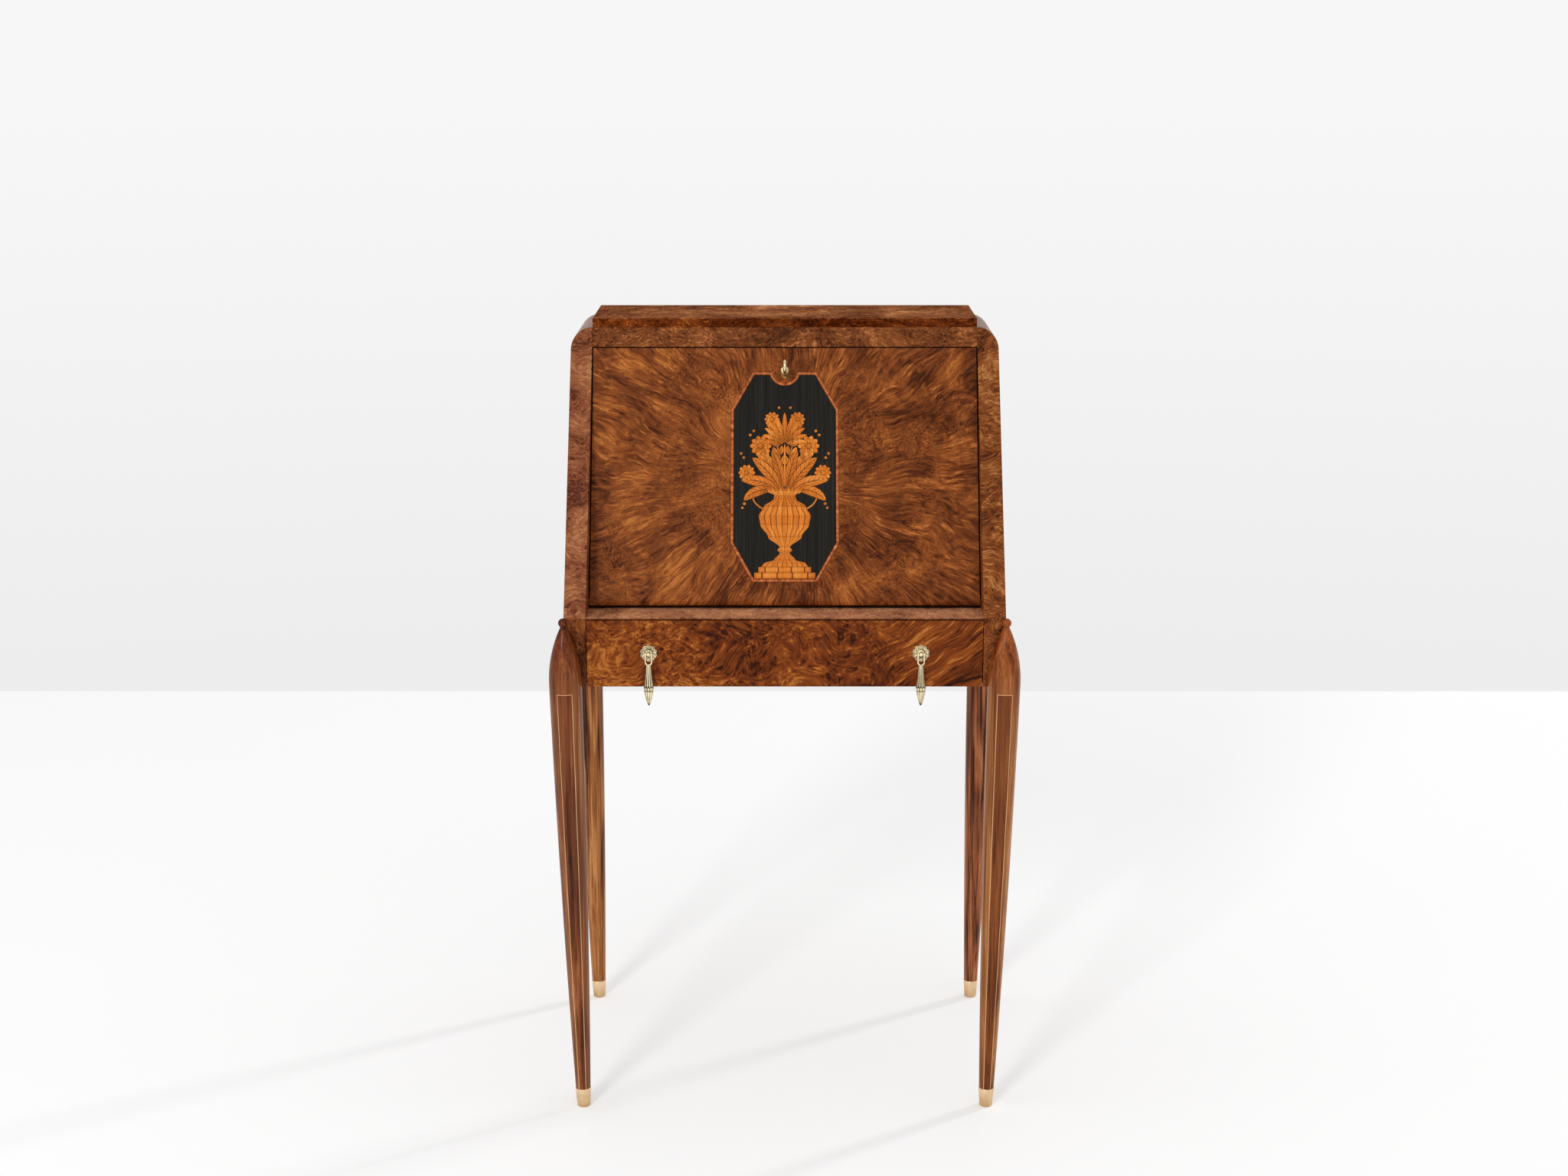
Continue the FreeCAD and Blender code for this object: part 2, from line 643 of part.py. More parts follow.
def make_case(hinge_plate):
    """The case: slanted sides with round shoulders, rail, stop, sub-top, top and back."""
    side = new_body("upper_side")
    corners = [
        (0, 0),
        (size["case_depth"], 0),
        (size["case_depth"], upper_height),
        (size["top_setback"], upper_height),
    ]
    sketch = new_sketch(side, "YZ_Plane")
    outline(sketch, corners)
    blank = pad(side, sketch, size["side_thickness"])
    top_edge = upper_height.value - TOUCH
    shoulder = soften(side, blank, size["shoulder_radius"], lambda mid: mid.x < TOUCH and mid.z > top_edge)
    slant_middle = size["top_setback"].value / 2
    soften(side, shoulder, size["edge_round"], lambda mid: abs(mid.y - slant_middle) < slant_middle / 4
           and abs(mid.z - upper_height.value / 2) < upper_height.value / 4)
    place(side, (-half_width, front, bed_top))
    left = keep(cut("left_case_side", side, hinge_plate), "upper_left_side")
    keep(mirrored("right_case_side", left), "upper_right_side")
    rail = new_body("rail")
    rail_back = size["top_setback"] + size["upper_rail_depth"]
    rail_front = rail_foot_y - front
    fall_away = (rail_back - rail_front) * sine(lean) / cosine(lean)
    corners = [
        (rail_front, rail_foot_z),
        (rail_back, rail_foot_z - fall_away),
        (rail_back, shoulder_top),
        (size["top_setback"], shoulder_top),
    ]
    sketch = new_sketch(rail, "YZ_Plane")
    outline(sketch, corners)
    pad(rail, sketch, inner_width)
    place(rail, (-inner_half, front, 0))
    strike_extent = (size["strike_width"], size["strike_depth"], size["strike_thickness"])
    bolt_middle = size["bolt_inset"] + size["bolt_thickness"] / 2
    strike_corner = (-size["strike_width"] / 2, bolt_middle - size["strike_depth"] / 2, rail_line)
    strike = fall_board("strike_block", strike_extent, strike_corner)
    slot_width = size["bolt_width"] + 2 * size["bolt_clearance"]
    slot_depth = size["bolt_thickness"] + 2 * size["bolt_clearance"]
    slot_corner = (-slot_width / 2, bolt_middle - slot_depth / 2, rail_line)
    mortise_depth = size["bolt_throw"] + size["mortise_spare"]
    mortise = fall_board("rail_mortise", (slot_width, slot_depth, mortise_depth), slot_corner)
    keep(cut("upper_rail", rail, strike, mortise), "upper_rail")
    keep(cut("strike", strike, mortise), "strike_plate")
    stop_extent = (inner_width, size["stop_thickness"], size["stop_height"])
    stop_corner = (-inner_half, fall_half_thickness + size["stop_gap"], rail_line - size["stop_height"])
    keep(fall_board("stop", stop_extent, stop_corner), "fall_stop")
    sub_top_run = size["case_depth"] - rail_back - size["back_thickness"]
    sub_top_corner = (-inner_half, front + rail_back, shoulder_top - size["sub_top_thickness"])
    keep(board("sub_top", (inner_width, sub_top_run, size["sub_top_thickness"]), sub_top_corner), "sub_top")
    top_extent = (inner_width, size["case_depth"] - size["top_setback"], size["top_thickness"])
    top_corner = (-inner_half, front + size["top_setback"], shoulder_top)
    keep(soft_board("top", top_extent, top_corner), "top_board")
    back_corner = (-inner_half, back - size["back_thickness"], bed_top)
    keep(board("back", (inner_width, size["back_thickness"], upper_height), back_corner), "back_panel")


def inlay_corners(inset):
    """The eight-sided outline with its round bay, drawn in from the outer one by inset."""
    top = fall_top - size["inlay_top_margin"]
    foot = size["inlay_foot_margin"]
    half = size["inlay_width"] / 2
    across = size["inlay_corner_across"]
    rise = (top - foot) * size["inlay_corner_share"]
    slant = root(across * across + rise * rise)
    flat_half = half - across - inset * (slant - across) / rise
    shoulder = rise + inset * (slant - rise) / across
    bay_radius = size["notch_radius"] + inset
    bay_sink = size["notch_rise"] + inset
    bay_half = root(bay_radius * bay_radius - bay_sink * bay_sink)
    corners = [
        (-flat_half, top - inset),
        (-half + inset, top - shoulder),
        (-half + inset, foot + shoulder),
        (-flat_half, foot + inset),
        (flat_half, foot + inset),
        (half - inset, foot + shoulder),
        (half - inset, top - shoulder),
        (flat_half, top - inset),
        (bay_half, top - inset),
        (-bay_half, top - inset),
    ]
    return corners, {8: -bay_radius}


def face_pad(name, outlines):
    """A sheet as deep as the veneer, let into the outer face of the fall."""
    body = new_body(name)
    sketch = new_sketch(body, "XZ_Plane", fall_half_thickness - size["veneer_depth"])
    for corners, arcs in outlines:
        outline(sketch, corners, arcs)
    pad(body, sketch, size["veneer_depth"])
    place(body, (0, pivot_y, pivot_z), LEAN_BACK, lean)
    return body


def keyhole_outlines():
    """The keyhole plate: a round eye with a rounded tail below it, and the hole inside."""
    tail_z = key_line - size["tail_drop"]
    eye, tail = size["eye_radius"], size["tail_radius"]
    half_slot = size["tail_slot"] / 2
    join = root(size["eye_hole_radius"] * size["eye_hole_radius"] - half_slot * half_slot)
    waist = root(eye * eye - tail * tail)
    outer = [
        (-tail, tail_z),
        (0, tail_z - tail),
        (tail, tail_z),
        (tail, key_line - waist),
        (eye, key_line),
        (0, key_line + eye),
        (-eye, key_line),
        (-tail, key_line - waist),
    ]
    outer_arcs = {0: tail, 1: tail, 3: eye, 4: eye, 5: eye, 6: eye}
    hole_radius = size["eye_hole_radius"]
    hole = [
        (-half_slot, tail_z),
        (half_slot, tail_z),
        (half_slot, key_line - join),
        (hole_radius, key_line),
        (0, key_line + hole_radius),
        (-hole_radius, key_line),
        (-half_slot, key_line - join),
    ]
    hole_arcs = {2: hole_radius, 3: hole_radius, 4: hole_radius, 5: hole_radius}
    return (outer, outer_arcs), (hole, hole_arcs)


def make_fall(hinge_leaf, pivot_bore):
    """The fall with its inlaid panel, keyhole plate, leather and lock."""
    blank = new_body("fall_blank")
    sketch = new_sketch(blank, "YZ_Plane")
    corners = [
        (-fall_half_thickness, 0),
        (0, -fall_half_thickness),
        (fall_half_thickness, 0),
        (fall_half_thickness, fall_top),
        (-fall_half_thickness, fall_top),
    ]
    outline(sketch, corners, {0: fall_half_thickness, 1: fall_half_thickness})
    slab = pad(blank, sketch, 2 * fall_half_width, symmetric=True)
    soften(blank, slab, size["edge_round"], lambda mid: mid.z > fall_top.value / 4)
    place(blank, (0, pivot_y, pivot_z), LEAN_BACK, lean)
    outer, inner = inlay_corners(Measure(0)), inlay_corners(size["banding_width"])
    recess = face_pad("inlay_recess", [outer])
    keep(face_pad("field", [inner]), "inlay_field")
    keep(face_pad("banding", [outer, inner]), "inlay_banding")
    plate_outer, plate_hole = keyhole_outlines()
    eye_recess = face_pad("eye_recess", [plate_outer])
    keep(face_pad("keyhole_plate", [plate_outer, plate_hole]), "escutcheon")
    leather_height = fall_top - size["leather_top_margin"] - size["leather_rise"]
    leather_extent = (size["leather_width"], size["veneer_depth"], leather_height)
    leather_face = fall_half_thickness - size["veneer_depth"]
    leather_corner = (-size["leather_width"] / 2, leather_face, size["leather_rise"])
    leather = keep(fall_board("leather", leather_extent, leather_corner), "writing_leather")
    lock_face = fall_half_thickness - size["lock_thickness"]
    lock_extent = (size["lock_width"], size["lock_thickness"], size["lock_height"])
    lock_corner = (-size["lock_width"] / 2, lock_face, fall_top - size["lock_height"])
    lock_block = fall_board("lock_block", lock_extent, lock_corner)
    bore_radius = size["key_radius"] + size["key_clearance"]
    bore_start = on_fall(Measure(0), -fall_half_thickness, key_line)
    bore_depth = size["fall_thickness"] - size["lock_back"]
    shank_bore = rod("shank_bore", bore_radius, bore_depth, bore_start, LEAN_BACK, lean + QUARTER)
    slot_extent = (size["tail_slot"], fall_half_thickness + lock_face, size["tail_drop"])
    slot_corner = (-size["tail_slot"] / 2, -fall_half_thickness, key_line - size["tail_drop"])
    key_slot = fall_board("key_slot", slot_extent, slot_corner)
    right_leaf = mirrored("right_leaf_bed", hinge_leaf)
    right_bore = mirrored("right_pivot_bore", pivot_bore)
    tools = (recess, eye_recess, leather, lock_block, shank_bore, key_slot, hinge_leaf, right_leaf)
    keep(cut("fall", blank, *tools, pivot_bore, right_bore), "fall_panel")
    make_lock(lock_block, shank_bore, lock_face)


def make_lock(lock_block, shank_bore, lock_face):
    """The lock case, its bolt drawn back, and the key."""
    bolt_slot_width = size["bolt_width"] + 2 * size["bolt_clearance"]
    bolt_slot_depth = size["bolt_thickness"] + 2 * size["bolt_clearance"]
    slot_length = size["bolt_length"] + 2 * size["bolt_clearance"]
    slot_corner = (-bolt_slot_width / 2, size["bolt_inset"] - size["bolt_clearance"], fall_top - slot_length)
    bolt_slot = fall_board("bolt_slot", (bolt_slot_width, bolt_slot_depth, slot_length), slot_corner)
    ward_depth = size["bit_width"] + 2 * size["bolt_clearance"]
    ward_start = on_fall(Measure(0), size["bolt_inset"] - size["bolt_clearance"], key_line)
    ward = rod("ward_hollow", size["ward_radius"], ward_depth, ward_start, LEAN_BACK, lean + QUARTER)
    keep(cut("lock_case", lock_block, shank_bore, bolt_slot, ward), "lock_case")
    bolt_foot = fall_top - size["bolt_length"] - size["bolt_clearance"]
    bolt_corner = (-size["bolt_width"] / 2, size["bolt_inset"], bolt_foot)
    bolt_extent = (size["bolt_width"], size["bolt_thickness"], size["bolt_length"])
    keep(fall_board("bolt", bolt_extent, bolt_corner), "lock_bolt")
    face = -fall_half_thickness
    shank_end = size["bolt_inset"] + size["bit_width"]
    shank_start = face - size["key_standoff"]
    collar_start = face - size["key_collar_length"] - size["key_collar_gap"]
    collar_end = collar_start + size["key_collar_length"]
    key = new_body("key_body")
    sketch = new_sketch(key, "XY_Plane")
    corners = [
        (0, shank_start),
        (size["key_radius"], shank_start),
        (size["key_radius"], collar_start),
        (size["key_collar_radius"], collar_start),
        (size["key_collar_radius"], collar_end),
        (size["key_radius"], collar_end),
        (size["key_radius"], shank_end),
        (0, shank_end),
    ]
    outline(sketch, corners)
    revolve(key, sketch)
    bit = key.newObject("PartDesign::AdditiveBox", "key_bit")
    for prop, amount in (("Length", "bit_thickness"), ("Width", "bit_width"), ("Height", "bit_length")):
        tie(bit, prop, size[amount])
    place(bit, (-size["bit_thickness"] / 2, size["bolt_inset"], -size["bit_length"]))
    bow = key.newObject("PartDesign::AdditiveTorus", "key_bow")
    tie(bow, "Radius1", size["bow_radius"])
    tie(bow, "Radius2", size["bow_wire"])
    place(bow, (0, shank_start - size["bow_radius"], 0), BACKWARD, QUARTER)
    place(key, on_fall(Measure(0), Measure(0), key_line), LEAN_BACK, lean)
    keep(key, "key")


def make_drawer():
    """The drawer under the ledge: show front, sides, back and bottom."""
    front_z = size["underside_height"] + size["drawer_foot_gap"]
    front_height = size["base_height"] - size["bed_lip"] - size["drawer_gap"] - size["drawer_foot_gap"]
    front_half = inner_half - size["drawer_gap"]
    show = soft_board("drawer_show", (2 * front_half, size["drawer_front_thickness"], front_height),
                      (-front_half, front, front_z))
    pull_z = size["underside_height"] + size["base_height"] / 2
    stems = []
    for sign in (-1, 1):
        start = (sign * size["pull_spacing"] / 2, front, pull_z)
        stems.append(rod("stem_hole", size["stud_radius"], size["drawer_front_thickness"], start, LEAN_BACK,
                         QUARTER))
    keep(cut("drawer_face", show, *stems), "drawer_front")
    box_y = front + size["drawer_front_thickness"]
    runner_top = size["underside_height"] + size["base_floor_thickness"] + size["runner_height"]
    box_z = runner_top + size["running_gap"]
    box_height = bed_top - size["bed_thickness"] - size["running_gap"] - box_z
    box_depth = back - size["base_back_thickness"] - size["drawer_rear_gap"] - box_y
    wall = size["drawer_side_thickness"]
    side = board("drawer_side", (wall, box_depth, box_height), (-front_half, box_y, box_z))
    keep(side, "drawer_left_side")
    keep(mirrored("drawer_other_side", side), "drawer_right_side")
    inside = 2 * (front_half - wall)
    back_height = box_height - size["drawer_back_drop"]
    back_corner = (wall - front_half, box_y + box_depth - wall, box_z)
    keep(board("drawer_rear", (inside, wall, back_height), back_corner), "drawer_back")
    bottom_extent = (inside, box_depth - wall, size["drawer_bottom_thickness"])
    bottom_corner = (wall - front_half, box_y, box_z + size["drawer_bottom_rise"])
    keep(board("drawer_floor", bottom_extent, bottom_corner), "drawer_bottom")
    return pull_z


def rosette_body(name):
    """A round flower: a disc with a ring of full petals, facing the front."""
    body = new_body(name)
    disc = body.newObject("PartDesign::AdditiveCylinder", f"{name}_disc")
    tie(disc, "Radius", size["rosette_radius"])
    tie(disc, "Height", size["rosette_thickness"])
    petal = body.newObject("PartDesign::AdditiveCone", f"{name}_petal")
    tie(petal, "Radius1", size["petal_radius"])
    tie(petal, "Radius2", size["petal_face_radius"])
    tie(petal, "Height", size["petal_thickness"])
    place(petal, (0, size["petal_ring"], 0))
    polar(body, petal, "Z_Axis", size["petal_count"])
    return body


def boss_body(name):
    """The stud of a pull: stem through the drawer front with its nut, and a round-nosed boss."""
    body = new_body(name)
    stem_end = -size["drawer_front_thickness"]
    nose = size["boss_length"] - size["boss_radius"]
    sketch = new_sketch(body, "XZ_Plane")
    corners = [
        (0, stem_end - size["nut_thickness"]),
        (size["nut_radius"], stem_end - size["nut_thickness"]),
        (size["nut_radius"], stem_end),
        (size["stud_radius"], stem_end),
        (size["stud_radius"], 0),
        (size["boss_radius"], size["boss_flare"]),
        (size["boss_radius"], nose),
        (0, size["boss_length"]),
    ]
    outline(sketch, corners, {6: size["boss_radius"]})
    revolve(body, sketch)
    return body


def fluted_sketch(body, radius, height):
    """A round section hollowed by flutes that meet in sharp edges."""
    count = int(size["flute_count"].value)
    corners = []
    for number in range(count):
        angle = math.radians(360 * (number + 0.5) / count)
        corners.append((radius * math.cos(angle), radius * math.sin(angle)))
    sketch = new_sketch(body, "XY_Plane", height)
    outline(sketch, corners, {number: -radius * size["flute_hollow"] for number in range(count)})
    return sketch


def drop_body(name):
    """The hanging drop: fluted flare, ring, acorn and tip on a hanging axis."""
    body = new_body(name)
    ring_top = -size["drop_flare_depth"]
    ring_foot = ring_top - size["drop_ring_height"]
    tip = -size["drop_tip_depth"]
    flare = body.newObject("PartDesign::AdditiveLoft", f"{name}_flare")
    flare.Profile = fluted_sketch(body, size["drop_neck_radius"], -size["bail_depth"])
    flare.Sections = [fluted_sketch(body, size["drop_flare_radius"], ring_top)]
    flare.Ruled = True
    sketch = new_sketch(body, "XZ_Plane")
    corners = [
        (0, ring_top),
        (size["drop_flare_radius"], ring_top),
        (size["drop_acorn_radius"], ring_foot),
        (size["drop_tip_radius"], tip),
        (0, tip - size["drop_tip_length"]),
    ]
    tip_curve = dome_radius(size["drop_tip_radius"], size["drop_tip_length"])
    arcs = {1: -size["drop_ring_curve"], 2: -size["drop_acorn_curve"], 3: -tip_curve}
    outline(sketch, corners, arcs)
    revolve(body, sketch)
    return body


def make_pulls(pull_z):
    """Two drop pulls: rosette, stud with its cross pin, and the drop that swings on it."""
    arm_line = size["bail_gap"] / 2 + size["bail_wire"]
    eye_thickness = 2 * size["bail_wire"]
    arm_length = size["bail_depth"] - arm_line
    pins = []
    for hand, sign in (("left", -1), ("right", 1)):
        centre = sign * size["pull_spacing"] / 2
        flower = rosette_body(f"{hand}_flower")
        place(flower, (centre, front, pull_z), ACROSS, QUARTER)
        boss = boss_body(f"{hand}_stud")
        place(boss, (centre, front, pull_z), ACROSS, QUARTER)
        pin_y = front - size["pin_standoff"]
        pin_half = arm_line + size["bail_wire"]
        pin_start = (centre - pin_half, pin_y, pull_z)
        pin = rod(f"{hand}_pin", size["pin_radius"], 2 * pin_half, pin_start, BACKWARD, QUARTER)
        pins.append(pin)
        keep(cut(f"{hand}_rosette", flower, boss), f"{hand}_rosette")
        keep(cut(f"{hand}_boss", boss, pin), f"{hand}_boss")
        drop = drop_body(f"{hand}_drop")
        place(drop, (centre, pin_y, pull_z))
        parts = [drop]
        for side in (-1, 1):
            arm_x = centre + side * arm_line
            arm_foot = (arm_x, pin_y, pull_z - arm_length)
            parts.append(rod(f"{hand}_arm", size["bail_wire"], arm_length, arm_foot))
            parts.append(rod(f"{hand}_eye", size["bail_eye_radius"], eye_thickness,
                             (arm_x - size["bail_wire"], pin_y, pull_z), BACKWARD, QUARTER))
        bow = doc.addObject("Part::Torus", f"{hand}_bow")
        tie(bow, "Radius1", arm_line)
        tie(bow, "Radius2", size["bail_wire"])
        bow.Angle3 = 180
        place(bow, (centre, pin_y, pull_z - arm_length), LEAN_BACK, QUARTER)
        parts.append(bow)
        bore_half = pin_half + size["bail_wire"]
        bore_start = (centre - bore_half, pin_y, pull_z)
        bore_radius = size["pin_radius"] + size["pin_clearance"]
        eye_bore = rod(f"{hand}_eye_bore", bore_radius, 2 * bore_half, bore_start, BACKWARD, QUARTER)
        label = f"{hand}_drop_pull"
        keep(cut(label, fuse(f"{hand}_casting", *parts), eye_bore), label)
    keep(group("pin_set", *pins), "pull_pins")


def make_gallery():
    """Fittings inside the desk: shelf, two dividers, and a small drawer under a shelf in each end bay."""
    gallery_back = back - size["back_thickness"]
    gallery_front = gallery_back - size["gallery_depth"]
    leaf = size["gallery_board"]
    shelf_z = bed_top + shelf_height
    keep(board("shelf", (inner_width, size["gallery_depth"], leaf), (-inner_half, gallery_front, shelf_z)),
         "gallery_shelf")
    bay_edge = size["centre_bay_width"] / 2
    divider = board("divider", (leaf, size["gallery_depth"], shelf_height),
                    (-bay_edge - leaf, gallery_front, bed_top))
    keep(divider, "left_divider")
    keep(mirrored("other_divider", divider), "right_divider")
    bay_width = inner_half - bay_edge - leaf
    gap = size["inner_drawer_gap"]
    small_shelf_z = bed_top + inner_drawer_height + 2 * gap
    small_shelf = board("small_shelf", (bay_width, size["gallery_depth"], leaf),
                        (-inner_half, gallery_front, small_shelf_z))
    keep(small_shelf, "left_drawer_shelf")
    keep(mirrored("other_small_shelf", small_shelf), "right_drawer_shelf")
    wall = size["inner_drawer_wall"]
    width = bay_width - 2 * gap
    low = bed_top + size["running_gap"]
    block = board("tray_block", (width, size["inner_drawer_depth"], inner_drawer_height),
                  (gap - inner_half, gallery_front, low))
    hollow_extent = (width - 2 * wall, size["inner_drawer_depth"] - 2 * wall, inner_drawer_height)
    hollow = board("tray_hollow", hollow_extent, (gap + wall - inner_half, gallery_front + wall, low + wall))
    tray = keep(cut("tray", block, hollow), "left_inner_drawer")
    keep(mirrored("other_tray", tray), "right_inner_drawer")
    knob = new_body("knob")
    dome = size["inner_knob_length"] - size["inner_knob_dome"]
    sketch = new_sketch(knob, "XZ_Plane")
    corners = [
        (0, 0),
        (size["inner_knob_neck"], 0),
        (size["inner_knob_neck"], size["inner_knob_stem"]),
        (size["inner_knob_radius"], dome),
        (0, size["inner_knob_length"]),
    ]
    outline(sketch, corners, {3: dome_radius(size["inner_knob_radius"], size["inner_knob_dome"])})
    revolve(knob, sketch)
    knob_x = gap + width / 2 - inner_half
    place(knob, (knob_x, gallery_front, low + inner_drawer_height / 2), ACROSS, QUARTER)
    keep(knob, "left_inner_knob")
    keep(mirrored("other_knob", knob), "right_inner_knob")


def write_parts():
    """Checks every object and writes each sub-part to its own file."""
    doc.recompute()
    failed = [item.Name for item in doc.Objects if {"Invalid", "Error"} & set(item.State)]
    broken = [item.Label for item in pieces if item.Shape.isNull() or not item.Shape.isValid()]
    empty = [item.Label for item in pieces if not item.Shape.Solids]
    if failed or broken or empty:
        raise RuntimeError(f"failed {failed}, broken {broken}, without a solid {empty}")
    os.makedirs("parts", exist_ok=True)
    for item in pieces:
        item.Shape.exportStep(f"parts/{item.Label}.step")
    print(f"{len(pieces)} sub-parts, fall leans {lean.value:.3f} degrees")


base_dowels = make_legs()
make_base(base_dowels)
side_plate, fall_leaf, fall_bore = make_hinges()
make_case(side_plate)
make_fall(fall_leaf, fall_bore)
make_pulls(make_drawer())
make_gallery()
write_parts()
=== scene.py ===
import json
import logging
import math
from dataclasses import dataclass, replace
from enum import Enum

import bmesh
import bpy
import numpy as np
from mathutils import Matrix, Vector


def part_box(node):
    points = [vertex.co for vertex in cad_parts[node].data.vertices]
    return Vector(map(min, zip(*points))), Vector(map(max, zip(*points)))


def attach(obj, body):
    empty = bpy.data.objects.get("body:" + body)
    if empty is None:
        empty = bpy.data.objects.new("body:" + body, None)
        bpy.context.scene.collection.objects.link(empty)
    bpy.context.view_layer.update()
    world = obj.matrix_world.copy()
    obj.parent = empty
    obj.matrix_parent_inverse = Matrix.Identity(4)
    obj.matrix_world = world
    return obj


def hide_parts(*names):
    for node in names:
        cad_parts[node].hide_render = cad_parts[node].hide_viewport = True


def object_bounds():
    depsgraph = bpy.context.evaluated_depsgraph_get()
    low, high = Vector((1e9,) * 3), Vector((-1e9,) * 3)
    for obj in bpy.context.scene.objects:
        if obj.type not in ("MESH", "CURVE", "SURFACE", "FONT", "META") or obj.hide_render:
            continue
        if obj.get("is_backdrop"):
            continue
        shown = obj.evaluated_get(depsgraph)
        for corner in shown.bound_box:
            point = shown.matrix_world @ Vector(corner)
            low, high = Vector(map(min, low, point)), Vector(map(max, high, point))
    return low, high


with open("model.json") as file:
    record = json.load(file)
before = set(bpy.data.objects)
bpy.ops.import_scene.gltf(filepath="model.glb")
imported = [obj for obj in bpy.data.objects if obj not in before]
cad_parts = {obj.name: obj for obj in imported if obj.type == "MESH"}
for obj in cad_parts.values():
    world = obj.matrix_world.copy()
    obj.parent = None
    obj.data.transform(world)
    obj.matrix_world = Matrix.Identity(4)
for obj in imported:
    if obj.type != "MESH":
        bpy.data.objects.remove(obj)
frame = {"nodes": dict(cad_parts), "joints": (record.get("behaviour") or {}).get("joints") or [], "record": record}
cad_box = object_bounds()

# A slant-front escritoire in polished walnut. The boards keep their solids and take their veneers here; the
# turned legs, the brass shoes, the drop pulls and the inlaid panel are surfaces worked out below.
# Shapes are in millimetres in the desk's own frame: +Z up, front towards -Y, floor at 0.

log = logging.getLogger("escritoire")

MM = 0.001
QUARTER = math.pi / 2
Colour = tuple[float, float, float, float]
Pair = tuple[float, float]
Triple = tuple[float, float, float]
Tones = tuple[str, str, str, str, str]
Socket = bpy.types.NodeSocket
Value = Socket | float | tuple
Patches = tuple[np.ndarray, np.ndarray]

# Five tones of each wood, from its darkest streak to its brightest, and where they lie in its figure.
TONE_PLACES = (0.04, 0.28, 0.5, 0.72, 0.96)
FALL_TONES = ("#3e1b09", "#643012", "#80431d", "#9e5725", "#bf7335")
DRAWER_TONES = ("#361404", "#5f290b", "#783812", "#924b1a", "#ba702f")
STILE_TONES = ("#3f1d0b", "#683416", "#80441e", "#955628", "#b87c45")
LEFT_STILE_TONES = ("#552a19", "#7a4228", "#8d5133", "#9a5f3c", "#b77a50")
BASE_TONES = ("#391909", "#5f2e15", "#773d1b", "#8c4c23", "#a96735")
RAIL_TONES = ("#43200c", "#653416", "#78411f", "#8e5128", "#b6713f")
TOP_TONES = ("#381405", "#52210a", "#652d0f", "#7b3a14", "#a25724")
LID_TONES = ("#4c2410", "#6d3a1e", "#834b2b", "#975b36", "#c58452")
# The ledge's tones are paler as painted light and sheen from above.
LIT_LEDGE_TONES = ("#845139", "#ab7050", "#bf805a", "#d29065", "#e9a97b")
# The lip's tones are near black as a painted shadow line.
SHADED_LIP_TONES = ("#260f05", "#3c1c0c", "#4c2610", "#5a2f15", "#6d3c1d")
LEG_TONES = ("#371b0d", "#693b20", "#884f2b", "#a1663b", "#c38857")
ORANGE_LEG_TONES = ("#3d1a08", "#75401d", "#96592b", "#ad6e3a", "#ca8b52")
DARK_LEG_TONES = ("#321508", "#6c391e", "#975432", "#ad673f", "#c68154")
MAPLE_TONES = ("#8b5d33", "#a5743f", "#b5834a", "#c39357", "#d2a76b")
BEECH_TONES = ("#96704a", "#ab8359", "#ba9267", "#c7a176", "#d5b389")
CARCASS_TONES = ("#46291a", "#5c3824", "#6b442d", "#7a5037", "#8f6144")
BANDING_TONES = ("#5f2a12", "#a4532a", "#be6635", "#cd7540", "#e09a62")
EBONY_TONES = ("#151310", "#1b1916", "#211f1b", "#292520", "#3a332c")
SATIN_TONES = ("#a5591d", "#c96d25", "#dc7b2c", "#e88a36", "#f2a450")


class Grain(Enum):
    """The way that the grain of a board runs."""

    ACROSS = (1.0, 0.0, 0.0)
    BACKWARD = (0.0, 1.0, 0.0)
    UPRIGHT = (0.0, 0.0, 1.0)


class Engraving(Enum):
    """What is engraved on a piece of inlay: a rib with side veins, lines along a petal, or plain joints."""

    LEAF = "leaf"
    PETAL = "petal"
    JOINT = "joint"


def linear(code: str) -> Colour:
    """Turns an sRGB hex value into linear red, green, blue and alpha.

    Args:
        code: the colour as #rrggbb.

    Returns:
        The four linear values.
    """
    channels = np.array([int(code[start:start + 2], 16) for start in (1, 3, 5)]) / 255
    scaled = np.where(channels <= 0.04045, channels / 12.92, ((channels + 0.055) / 1.055) ** 2.4)
    return (float(scaled[0]), float(scaled[1]), float(scaled[2]), 1.0)


